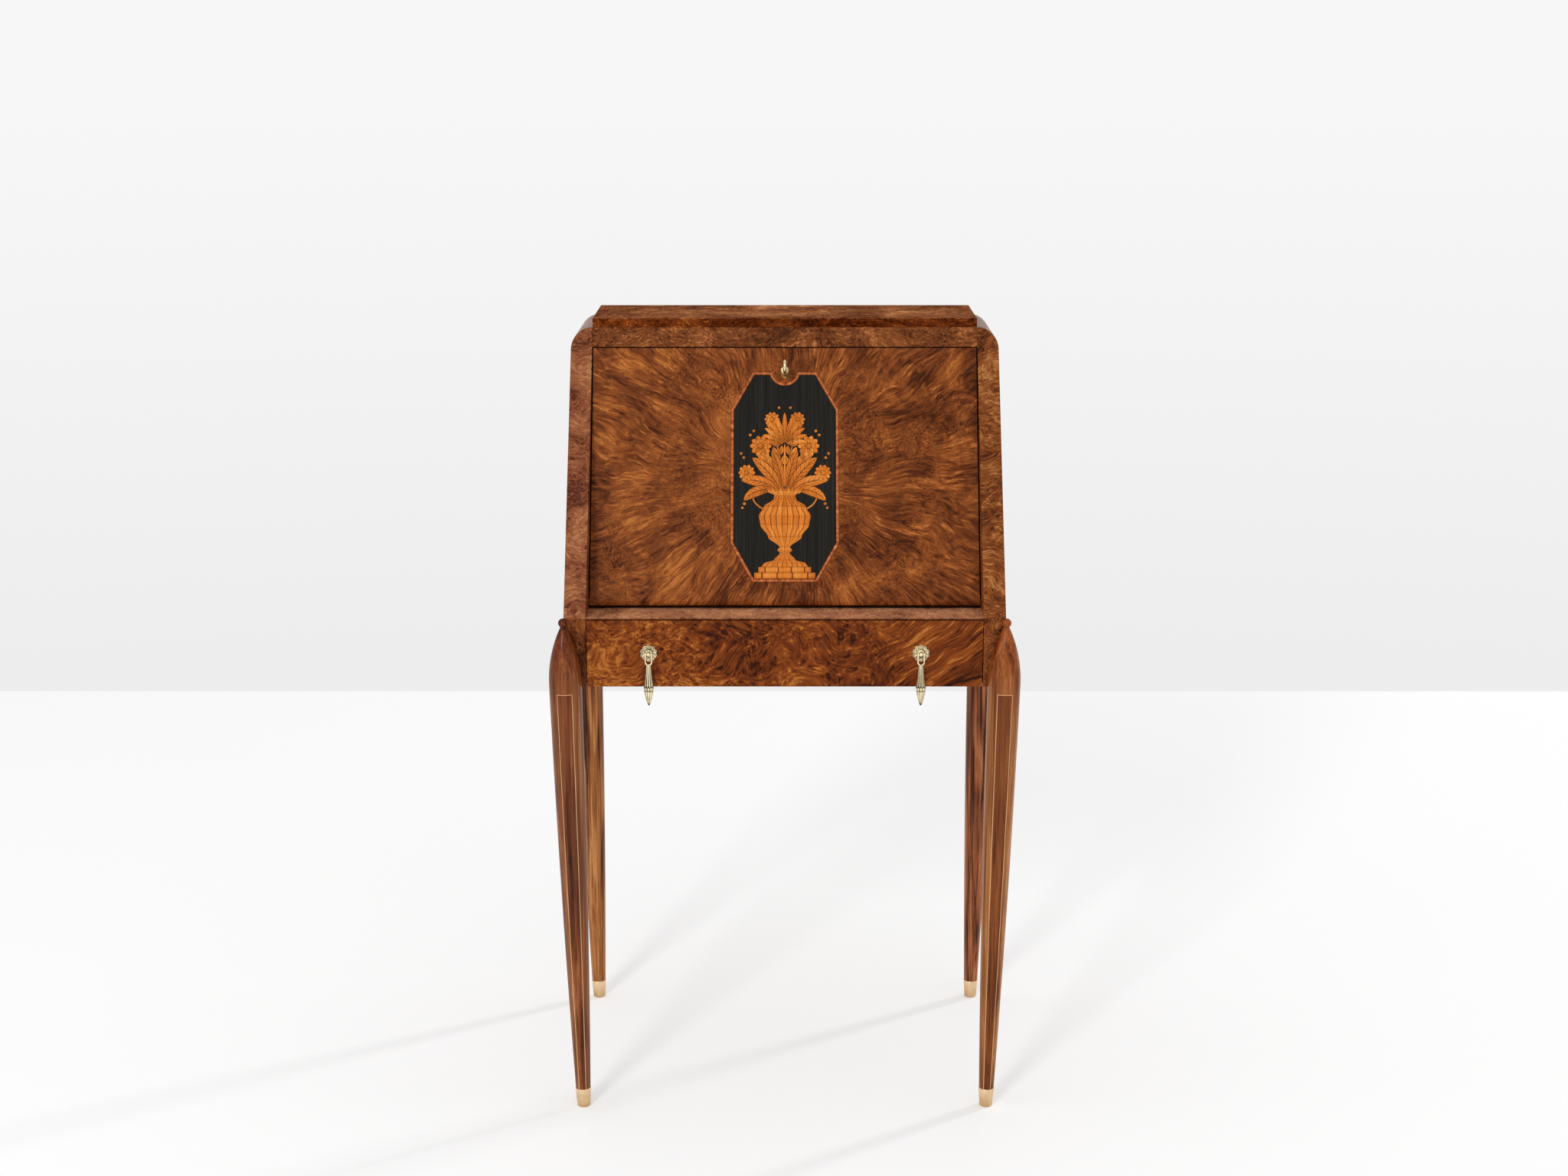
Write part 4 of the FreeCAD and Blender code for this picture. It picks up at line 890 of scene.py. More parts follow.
@dataclass(frozen=True)
class Leather(Finish):
    """Smooth writing leather: fine pebbled grain, worn paler in clouds, with a gilt line near its edge.

    Real pebbles are about half a millimetre and wouldn't show, so pebble draws them coarser.
    """

    name: str
    plane: FallPlane
    middle: float
    half: Pair
    inset: float = 12.0
    gilt: str = "#b08a45"
    gilt_width: float = 1.4
    hide: tuple[str, str] = ("#2c1710", "#4d2b1c")
    pebble: float = 1.3
    wear: float = 45.0

    def paint(self, graph: Graph) -> None:
        """Pebbles from cells; the gilt line is where the distance from the edge equals the inset.

        Args:
            graph: the material's nodes.
        """
        place = graph.millimetres()
        cells = graph.add("TexVoronoi", place, Scale=1 / self.pebble)
        wear = graph.add("TexNoise", place, Scale=1 / self.wear, Detail=4.0)
        hide = graph.add("ValToRGB", wear, stops=tuple(zip((0.3, 0.7), self.hide)))
        flat = self.plane.flatten(graph)
        shifted = graph.add("VectorMath", flat, (0.0, 0.0, self.middle), operation="SUBTRACT")
        folded = graph.add("VectorMath", shifted, operation="ABSOLUTE")
        line_half = (self.half[0] - self.inset, 0.0, self.half[1] - self.inset)
        inner = graph.add("VectorMath", folded, line_half, operation="SUBTRACT")
        side, head = (graph.add("SeparateXYZ", inner, out=axis) for axis in "XZ")
        edge = graph.add("Math", side, head, operation="MAXIMUM")
        away = graph.add("Math", edge, operation="ABSOLUTE")
        line = graph.add("Math", away, self.gilt_width / 2, operation="LESS_THAN")
        colour = graph.add("Mix", line, hide, linear(self.gilt), data_type="RGBA")
        bump = graph.add("Bump", Strength=0.25, Distance=0.0003, Height=cells)
        graph.shade(Base_Color=colour, Roughness=0.5, Specular_IOR_Level=0.4, Normal=bump)


@dataclass(frozen=True)
class FiledSteel(Finish):
    """Filed steel of the lock bolt: grey, with fine lines along the bolt."""

    name: str
    line: Pair = (0.5, 50.0)
    greys: tuple[str, str] = ("#6d6a66", "#8f8b86")

    def paint(self, graph: Graph) -> None:
        """Fine noise drawn out up the bolt varies the grey and the roughness.

        Args:
            graph: the material's nodes.
        """
        lines = drawn_out(graph, graph.millimetres(), self.line, Grain.UPRIGHT, 2.0)
        colour = graph.add("ValToRGB", lines, stops=tuple(zip((0.3, 0.7), self.greys)))
        rough = graph.add("MapRange", lines, 0.0, 1.0, 0.3, 0.5)
        graph.shade(Base_Color=colour, Metallic=1.0, Roughness=rough)


@dataclass(frozen=True)
class StudioPaper(Finish):
    """The pale floor: matt paper with the faintest cloud."""

    name: str
    colour: str
    cloud: float = 700.0
    glow: float = 0.165

    def paint(self, graph: Graph) -> None:
        """A soft cloud varies the paper by a hundredth; the eye and gloss see it lit a little brighter.

        Args:
            graph: the material's nodes.
        """
        clouds = graph.add("TexNoise", graph.millimetres(), Scale=1 / self.cloud, Detail=2.0)
        tint = graph.add("MapRange", clouds, 0.0, 1.0, 0.99, 1.0)
        colour = graph.add("Mix", 1.0, linear(self.colour), tint, data_type="RGBA", blend_type="MULTIPLY")
        glow = graph.add("Math", graph.seen(), self.glow, operation="MULTIPLY")
        graph.shade(Base_Color=colour, Roughness=0.9, Specular_IOR_Level=0.1,
                    Emission_Color=linear("#ffffff"), Emission_Strength=glow)


def together(*parts: np.ndarray | float) -> np.ndarray:
    """Spreads arrays to a common shape and stacks them along a new last axis."""
    return np.stack(np.broadcast_arrays(*parts), axis=-1)


def circle(count: int) -> np.ndarray:
    """Angles spread evenly over a full turn, from 0 on."""
    return np.linspace(0.0, 2 * math.pi, count, endpoint=False)


def sweep(centre: Pair, radius: Pair, start: float, end: float, count: int) -> np.ndarray:
    """Points of a circular or elliptic arc: the centre plus the radius times the turn's cosine and sine.

    Args:
        centre: the arc's centre.
        radius: its radius along each axis.
        start: first turn.
        end: last turn.
        count: number of points.

    Returns:
        The points.
    """
    turn = np.linspace(start, end, count)
    return together(centre[0] + radius[0] * np.cos(turn), centre[1] + radius[1] * np.sin(turn))


def arc(start: Pair, end: Pair, bulge: float, count: int) -> np.ndarray:
    """Points of a circular arc between two points, bulging to the right of the way by its rise.

    Args:
        start: first point.
        end: last point.
        bulge: rise of the arc over its chord.
        count: number of points.

    Returns:
        The points.
    """
    first, last = np.array(start), np.array(end)
    chord = last - first
    half = np.hypot(*chord) / 2
    radius = (half * half + bulge * bulge) / (2 * bulge)
    along = chord / (2 * half)
    aside = np.array([along[1], -along[0]])
    reach = math.asin(half / radius)
    angle = np.linspace(-reach, reach, count)[:, None]
    middle = (first + last) / 2 + aside * (bulge - radius)
    return middle + radius * (np.sin(angle) * along + np.cos(angle) * aside)


def eased(rings: np.ndarray, share: np.ndarray) -> np.ndarray:
    """Courses from each ring to the next: the width eases by 3 s^2 - 2 s^3, the height goes evenly by s.

    Args:
        rings: rows of width and height.
        share: shares of the way from one ring to the next.

    Returns:
        Widths and heights, course by share.
    """
    smooth = share * share * (3 - 2 * share)
    low, gap = rings[:-1, None], np.diff(rings, axis=0)[:, None]
    return together(low[..., 0] + gap[..., 0] * smooth, low[..., 1] + gap[..., 1] * share)


def cubic(controls: np.ndarray, share: np.ndarray) -> Patches:
    """Places on cubic curves: four controls weighted by r^3, 3 r^2 s, 3 r s^2 and s^3, with r = 1 - s.

    Args:
        controls: four control points of each curve.
        share: shares s of the way along.

    Returns:
        The places and the curves' ways there, curve by share.
    """
    a, b, c, d = (controls[:, None, index] for index in range(4))
    share = share[None, :, None]
    rest = 1 - share
    place = rest ** 3 * a + 3 * rest ** 2 * share * b + 3 * rest * share ** 2 * c + share ** 3 * d
    way = 3 * rest ** 2 * (b - a) + 6 * rest * share * (c - b) + 3 * share ** 2 * (d - c)
    return place, way


def hump(value: np.ndarray, place: float, width: float) -> np.ndarray:
    """A bell of height 1: e to the minus square of the distance from its place over its width."""
    return np.exp(-(((value - place) / width) ** 2))


def turned(profile: np.ndarray, turns: np.ndarray) -> np.ndarray:
    """A profile of radius and height swept round the upright axis: radius times the turn's cosine and sine.

    Args:
        profile: rows of radius and height.
        turns: angles.

    Returns:
        One patch of points, height by turn.
    """
    radius, height = profile[:, :1], profile[:, 1:]
    return together(radius * np.cos(turns), radius * np.sin(turns), height)[None]


def skin(name: str, points: np.ndarray, loop: bool = False, closed: bool = False, capped: bool = True,
         chart: str = "", uv: np.ndarray | None = None, hollow: np.ndarray | None = None,
         crease: float = 40.0) -> bpy.types.Object:
    """Lays grids of points as a mesh of quads.

    Args:
        name: the piece's name.
        points: patches by rows by columns of points in millimetres.
        loop: whether the last column joins the first.
        closed: whether seams are merged and the faces turned outwards.
        capped: whether a closed patch has its first and last row filled or drawn to a point.
        chart: name of the surface's map.
        uv: the map, with one more column than points where loop is set.
        hollow: a value for each point, kept as the attribute hollow.
        crease: edges sharper than this many degrees stay sharp.

    Returns:
        The object, at the origin.
    """
    seam = 1e-7
    patches, rows, columns = points.shape[:3]
    row = np.arange(rows - 1)[:, None]
    column = np.arange(columns if loop else columns - 1)[None, :]
    near, far = row * columns + column, row * columns + (column + 1) % columns
    quads = together(near, far, far + columns, near + columns).reshape(-1, 4)
    first = np.arange(patches)[:, None] * rows * columns
    faces = (first[..., None] + quads).reshape(-1, 4).tolist()
    quad_count = len(faces)
    if closed and capped:
        ring = np.arange(columns)
        faces += (first + ring[::-1]).tolist() + (first + (rows - 1) * columns + ring).tolist()
    mesh = bpy.data.meshes.new(name)
    mesh.from_pydata((points.reshape(-1, 3) * MM).tolist(), [], faces)
    if uv is not None:
        wide = uv.shape[2]
        left = row * wide + column
        order = together(left, left + 1, left + 1 + wide, left + wide).ravel()
        values = np.zeros((len(mesh.loops), 2))
        values[:quad_count * 4] = uv.reshape(patches, -1, 2)[:, order].reshape(-1, 2)
        mesh.uv_layers.new(name=chart).data.foreach_set("uv", values.ravel())
    if hollow is not None:
        attribute = mesh.attributes.new("hollow", "FLOAT", "POINT")
        attribute.data.foreach_set("value", np.broadcast_to(hollow, points.shape[:3]).ravel())
    if closed:
        shell = bmesh.new()
        shell.from_mesh(mesh)
        bmesh.ops.remove_doubles(shell, verts=shell.verts, dist=seam)
        bmesh.ops.recalc_face_normals(shell, faces=shell.faces)
        shell.to_mesh(mesh)
        shell.free()
    mesh.polygons.foreach_set("use_smooth", np.ones(len(mesh.polygons), bool))
    mesh.set_sharp_from_angle(angle=math.radians(crease))
    piece = bpy.data.objects.new(name, mesh)
    bpy.context.scene.collection.objects.link(piece)
    return piece


def install(piece: bpy.types.Object, finish: Finish, body: str, slot: str, *nodes: str) -> None:
    """Finishes a piece, hangs it on its body and lets it stand for CAD nodes.

    Args:
        piece: the object.
        finish: its finish.
        body: the body that it moves with.
        slot: the record's material slot; not used.
        nodes: the nodes that it replaces.
    """
    piece.data.materials.append(finish.material())
    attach(piece, body)
    if nodes:
        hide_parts(*nodes)
    log.info("%s rides on %s, %d faces", piece.name, body, len(piece.data.polygons))


def veneer_nodes(finish: Finish, *names: str) -> None:
    """Gives CAD nodes a finish.

    Args:
        finish: the finish.
        names: the nodes.
    """
    for name in names:
        mesh = frame["nodes"][name].data
        mesh.materials.clear()
        mesh.materials.append(finish.material())
        log.info("%s takes %s", name, finish.name)


@dataclass(frozen=True)
class Leg:
    """One turned leg outside a corner of the base, with its ball and its brass shoe.

    A pair is a radius and a height; but lip_ease is how far the lip draws in below its top and at it, and
    patina_and_shade is the least of the shoe's painted shade with patina, and what the foot adds.
    """

    name: str
    foot: Triple
    splay: float
    string_side: float
    shoe_height: float = 28.0
    shoe_foot: float = 9.3
    shoe_round: float = 2.5
    shoe_lip: float = 0.8
    shoe_trim: float = 0.5
    lip_ease: Pair = (0.15, 0.4)
    lip_drop: float = 0.5
    patina_and_shade: Pair = (0.04, 0.5)
    tenon: float = 1.0
    ankle: float = 10.6
    belly: Pair = (22.75, 632.0)
    swell: float = 1.9
    neck: Pair = (5.2, 710.0)
    ball: Pair = (6.5, 718.5)
    ball_neck: float = 3.6
    string_angle: float = math.radians(27.0)
    facets: int = 96
    shoe_facets: int = 64

    def stand(self, points: np.ndarray) -> np.ndarray:
        """Leans upright points outwards by the splay and puts them on the foot.

        Args:
            points: the points about the leg's own axis.

        Returns:
            The points in the desk's frame.
        """
        x, y, z = points[..., 0], points[..., 1], points[..., 2]
        leant = x * math.cos(self.splay) + z * math.sin(self.splay)
        level = z * math.cos(self.splay) - x * math.sin(self.splay)
        return together(leant + self.foot[0], y + self.foot[1], level + self.foot[2])

    def profile(self) -> np.ndarray:
        """Draws the leg from the ankle up in arcs: swelling taper, pointed shoulder, collar and ball.

        Returns:
            Rows of radius and height.
        """
        root = self.shoe_height - self.tenon
        taper = arc((self.ankle, root), self.belly, self.swell, 70)
        rise = self.neck[1] - self.belly[1]
        loss = self.belly[0] - self.neck[0]
        curve = (rise * rise + loss * loss) / (2 * loss)
        centre = (self.belly[0] - curve, self.belly[1])
        shoulder = sweep(centre, (curve, curve), 0.0, math.asin(rise / curve), 40)
        low = -math.acos(self.ball_neck / self.ball[0])
        ball = sweep((0.0, self.ball[1]), (self.ball[0],) * 2, low, QUARTER, 24)
        return np.concatenate([[(0.0, root)], taper, shoulder[1:], ball])

    def shaft(self, finish: Finish) -> None:
        """Builds the wooden leg; its map holds the distance from the string line and the height, in metres.

        Args:
            finish: the wood.
        """
        profile = self.profile()
        points = self.stand(turned(profile, circle(self.facets)))
        faced = np.linspace(0.0, 2 * math.pi, self.facets + 1) - self.string_side * QUARTER
        front = np.abs((faced + math.pi) % (2 * math.pi) - math.pi)
        uv = together(profile[:, :1] * (front - self.string_angle), profile[:, 1:]) * MM
        piece = skin(f"{self.name}_turning", points, loop=True, closed=True, chart="stringing", uv=uv[None])
        install(piece, finish, "case", "straight_walnut", f"{self.name}_leg")

    def shoe(self, finish: Finish) -> None:
        """Builds the brass shoe: a tapered cup with a rounded foot, trimmed level with the floor.

        Args:
            finish: the brass, whose painted shade with patina grows with the cube of the share of the way from lip
                to foot.
        """
        middle = (self.shoe_foot - self.shoe_round, self.shoe_round - self.shoe_trim)
        edge = sweep(middle, (self.shoe_round,) * 2, -QUARTER, 0.0, 8)
        lip = self.ankle + self.shoe_lip
        top = [(lip - self.lip_ease[0], self.shoe_height - self.lip_drop),
               (lip - self.lip_ease[1], self.shoe_height), (0.0, self.shoe_height)]
        profile = np.concatenate([[(0.0, -self.shoe_trim)], edge, top])
        points = self.stand(turned(profile, circle(self.shoe_facets)))
        points[..., 2] = np.maximum(points[..., 2], 0.0)
        # Painted shade with patina: the brass darkens towards the floor.
        left = np.clip(1 - np.abs(profile[:, 1:] / self.shoe_height), 0.0, 1.0)
        hollow = self.patina_and_shade[0] + self.patina_and_shade[1] * left ** 3
        piece = skin(f"{self.name}_shoe", points, loop=True, closed=True, hollow=hollow)
        install(piece, finish, "case", "brass", f"{self.name}_sabot")


@dataclass(frozen=True)
class DropPull:
    """A drop pull: rosette of cupped petals, stirrup and fluted drop with its beads, acorn and tip.

    A pair is a radius and a height from the pin, and in hub and waist a radius and a reach from the drawer;
    but rim and moat are a place and a width as shares, flute its depths at neck and flare, bead its two radii,
    and cap its heights over the neck at the middle and at the edge.
    """

    hand: str
    pin: Triple
    pin_standoff: float = 8.8
    petals: int = 10
    petal_ring: float = 8.6
    petal_round: float = 3.75
    petal_inner: float = 1.75
    petal_narrow: float = 1.06
    plate: float = 1.5
    rim: Pair = (0.8, 0.21)
    rim_height: float = 1.5
    cup: float = 0.72
    cup_depth: float = 0.5
    heart: float = 0.34
    heart_height: float = 0.9
    moat: Pair = (0.44, 0.09)
    cleft: float = 0.13
    hub: tuple[Pair, ...] = (
        (3.4, 0.0), (3.4, 1.6), (2.6, 2.6), (3.1, 4.0), (2.3, 5.9), (2.75, 7.4), (2.75, 9.6))
    nose: float = 12.1
    waist: Pair = (3.0, 6.5)
    stirrup_half: float = 4.3
    stirrup_wire: float = 1.15
    stirrup_depth: float = 15.3
    eye_radius: float = 2.3
    eye_bore: float = 1.0
    eye_half: float = 1.25
    eye_ease: float = 0.4
    flutes: int = 10
    flute: Pair = (0.1, 0.2)
    neck: Pair = (3.3, -14.8)
    cap: Pair = (0.9, 0.7)
    cap_share: float = 0.75
    flare: Pair = (6.1, -46.2)
    sag: float = 0.35
    bead: Pair = (1.5, 2.6)
    bead_inset: float = 0.2
    bead_groove: float = 0.2
    acorn: Pair = (6.6, -51.7)
    acorn_bulge: float = 0.8
    lobe_groove: float = 0.12
    tip: Pair = (1.9, -70.6)
    tip_round: float = 1.5
    tip_drop: float = 0.9

    def facing(self, points: np.ndarray) -> np.ndarray:
        """Turns rosette points, drawn across, up and out, to face the front at the pull's place.

        Args:
            points: the points about the rosette's middle.

        Returns:
            The points in the desk's frame.
        """
        x, y, z = self.pin
        return together(points[..., 0] + x, y + self.pin_standoff - points[..., 2], points[..., 1] + z)

    def rosette(self, finish: Finish) -> None:
        """A polar surface whose outline is a ring of circles; each petal is a cup with a raised rim.

        A point's depth in its petal is its distance from the petal's middle over the petal's radius, the
        inner side of the petal drawn out to the heart: the rim stands where that is about 0.8.

        Args:
            finish: the brass, with painted shade and patina in the cups, the moat round the heart and the clefts
                between petals.
        """
        share = np.linspace(0.0, 1.0, 44)[:, None]
        turns = circle(self.petals * 24)
        phase = ((turns - QUARTER) * self.petals / math.pi + 1.0) % 2.0 - 1.0
        swing = phase * math.pi / self.petals
        chord = np.sqrt(self.petal_round ** 2 - (self.petal_ring * np.sin(swing)) ** 2)
        around = share * (self.petal_ring * np.cos(swing) + chord)
        along = around * np.cos(swing) - self.petal_ring
        along = np.where(along < 0, along / self.petal_inner, along)
        depth = np.hypot(along, around * np.sin(swing) * self.petal_narrow) / self.petal_round
        rim = hump(depth, *self.rim)
        cup = np.clip(1 - (depth / self.cup) ** 2, 0.0, 1.0)
        heart = np.exp(-((share / self.heart) ** 4))
        edge = np.sqrt(np.clip(1 - share ** 16, 0.0, 1.0))
        raised = self.rim_height * rim * (1 - heart) - self.cup_depth * cup + self.heart_height * heart
        height = edge * (self.plate + raised)
        cleft = hump(np.abs(phase), 1.0, self.cleft) * np.clip(share * 4 - 2, 0.0, 1.0)
        # Painted shade with patina: the cups, the moat and the clefts darken, the rims and the heart stay bright.
        hollow = np.clip(0.34 - 0.9 * rim - heart + 0.7 * hump(share, *self.moat) + 0.9 * cleft, 0.0, 1.0)
        # One more row takes the outer edge straight back to the drawer front, dark with painted shadow.
        around = np.concatenate([around, around[-1:]])
        height = np.concatenate([height, np.zeros_like(height[-1:])])
        hollow = np.concatenate([hollow, np.full_like(hollow[-1:], 0.8)])
        points = together(around * np.cos(turns), around * np.sin(turns), height)
        piece = skin(f"{self.hand}_flower", self.facing(points)[None], loop=True, closed=True, hollow=hollow,
                     crease=75.0)
        install(piece, finish, "drawer", "brass", f"{self.hand}_rosette")

    def knob(self, finish: Finish) -> None:
        """The turned hub: rings of radius and reach eased into each other, and a round nose.

        Args:
            finish: the brass, with painted shade and patina in the waists near the rosette.
        """
        rings = np.array(self.hub)
        radius, reach = self.hub[-1]
        nose = sweep((0.0, reach), (radius, self.nose - reach), 0.0, QUARTER, 10)
        courses = eased(rings, np.linspace(0.0, 1.0, 7)[:-1]).reshape(-1, 2)
        profile = np.concatenate([[(0.0, 0.0)], courses, nose])
        # Painted shade with patina in the waists near the rosette.
        waist = np.clip((self.waist[0] - profile[:, :1]) * 0.8, 0.0, 0.5) * (profile[:, 1:] < self.waist[1])
        piece = skin(f"{self.hand}_hub", self.facing(turned(profile, circle(40))), loop=True, closed=True,
                     hollow=waist, crease=50.0)
        install(piece, finish, "drawer", "brass", f"{self.hand}_boss")

    def stirrup(self) -> np.ndarray:
        """Bends a round wire along a path down one side, round the foot and up the other.

        Returns:
            The points about the pin.
        """
        foot = self.stirrup_half - self.stirrup_depth
        bow = sweep((0.0, foot), (self.stirrup_half,) * 2, math.pi, 2 * math.pi, 33)
        left = together(-self.stirrup_half, np.linspace(0.0, foot, 9)[:-1])
        path = np.concatenate([left, bow, left[::-1] * (-1.0, 1.0)])
        way = np.gradient(path, axis=0)
        way /= np.linalg.norm(way, axis=1, keepdims=True)
        ring = circle(20)
        aside = self.stirrup_wire * np.cos(ring)
        x, z = path[:, :1] + way[:, 1:] * aside, path[:, 1:] - way[:, :1] * aside
        return together(x, self.stirrup_wire * np.sin(ring), z)[None]

    def drop(self) -> Patches:
        """The fluted drop: a turned profile whose radius dips in flutes and in the gaps of beads and lobes.

        Each section has its profile, how deep its flutes and its gaps are as shares of the radius, and how
        dark its seams are with painted shade and patina. A flute dips with the cube of a wave round the drop, a
        gap where the wave is low.

        Returns:
            The points about the pin and how hollow each is.
        """
        gain, darkest = 9.0, 0.95
        turns = circle(self.flutes * 14)
        wave = np.abs(np.cos(self.flutes / 2 * (turns + QUARTER)))
        gap = (1 - wave) ** 3
        neck, height = self.neck
        cap = np.array([(0.0, height + self.cap[0]), (neck * self.cap_share, height + self.cap[1])])
        flare = np.linspace(self.neck, self.flare, 30)
        flare[:, 0] -= np.sin(np.linspace(0.0, math.pi, 30)) * self.sag
        flare_seam = np.concatenate([np.zeros(28), [0.3, 0.6]])
        bead_turn = np.linspace(-QUARTER, QUARTER, 15)
        bead_middle = (self.flare[0] - self.bead_inset, (self.flare[1] + self.acorn[1]) / 2)
        beads = sweep(bead_middle, (self.bead[0], -self.bead[1]), -QUARTER, QUARTER, 15)
        lobes = arc(self.tip, self.acorn, self.acorn_bulge, 28)[::-1]
        lobe_gaps = np.sin(np.linspace(0.0, math.pi, 28)) ** 0.5 * self.lobe_groove
        lobe_seam = np.concatenate([[0.6, 0.3], np.zeros(22), np.full(4, 0.5)])
        tip = sweep((0.0, self.tip[1] - self.tip_drop), (self.tip_round,) * 2, 0.6, -QUARTER, 14)
        sections = ((cap, 0.0, 0.0, 0.0), (flare, np.linspace(*self.flute, 30), 0.0, flare_seam),
                    (beads, 0.0, np.cos(bead_turn) * self.bead_groove, np.sin(bead_turn) ** 6),
                    (lobes, 0.0, lobe_gaps, lobe_seam), (tip, 0.0, 0.0, darkest))
        profile = np.concatenate([section[0] for section in sections])
        flute, groove, seam = (
            np.concatenate([np.broadcast_to(section[part], len(section[0])) for section in sections])[:, None]
            for part in (1, 2, 3))
        fluted = flute * wave ** 3
        radius = profile[:, :1] * (1 - fluted - groove * (1 - (1 - gap) ** 2))
        # Painted shade with patina in the flutes, the gaps, the seams and the tip.
        hollow = np.clip(fluted * gain - 0.2, 0.0, 1.0) + np.clip(groove * gain, 0.0, 1.0) * gap + seam
        points = together(radius * np.cos(turns), radius * np.sin(turns), profile[:, 1:])
        return points[None], np.clip(hollow, 0.0, darkest)

    def eyes(self) -> np.ndarray:
        """Two rounded eyes about the pin, as turned profiles laid along it.

        Returns:
            The points about the pin.
        """
        bore, half, edge = self.eye_bore, self.eye_half, self.eye_ease
        full, eased_off = self.eye_radius, self.eye_radius - edge
        profile = np.array([(bore, -half), (eased_off, -half), (full, edge - half), (full, half - edge),
                            (eased_off, half), (bore, half), (bore, -half)])
        along = np.roll(turned(profile, circle(28)), 1, axis=-1)
        sides = np.array([-self.stirrup_half, self.stirrup_half])[:, None, None, None]
        return along + sides * (1.0, 0.0, 0.0)

    def build(self, finish: Finish) -> None:
        """Builds the rosette, its hub and the parts that swing.

        Args:
            finish: the brass.
        """
        self.rosette(finish)
        self.knob(finish)
        body = f"{self.hand}_pull"
        points, hollow = self.drop()
        drop = skin(f"{self.hand}_fluted_drop", points + self.pin, loop=True, closed=True, hollow=hollow,
                    crease=65.0)
        stirrup = skin(f"{self.hand}_stirrup", self.stirrup() + self.pin, loop=True, closed=True)
        eyes = skin(f"{self.hand}_stirrup_eyes", self.eyes() + self.pin, loop=True, closed=True, capped=False)
        install(drop, finish, body, "brass", f"{self.hand}_drop_pull")
        install(stirrup, finish, body, "brass")
        install(eyes, finish, body, "brass")


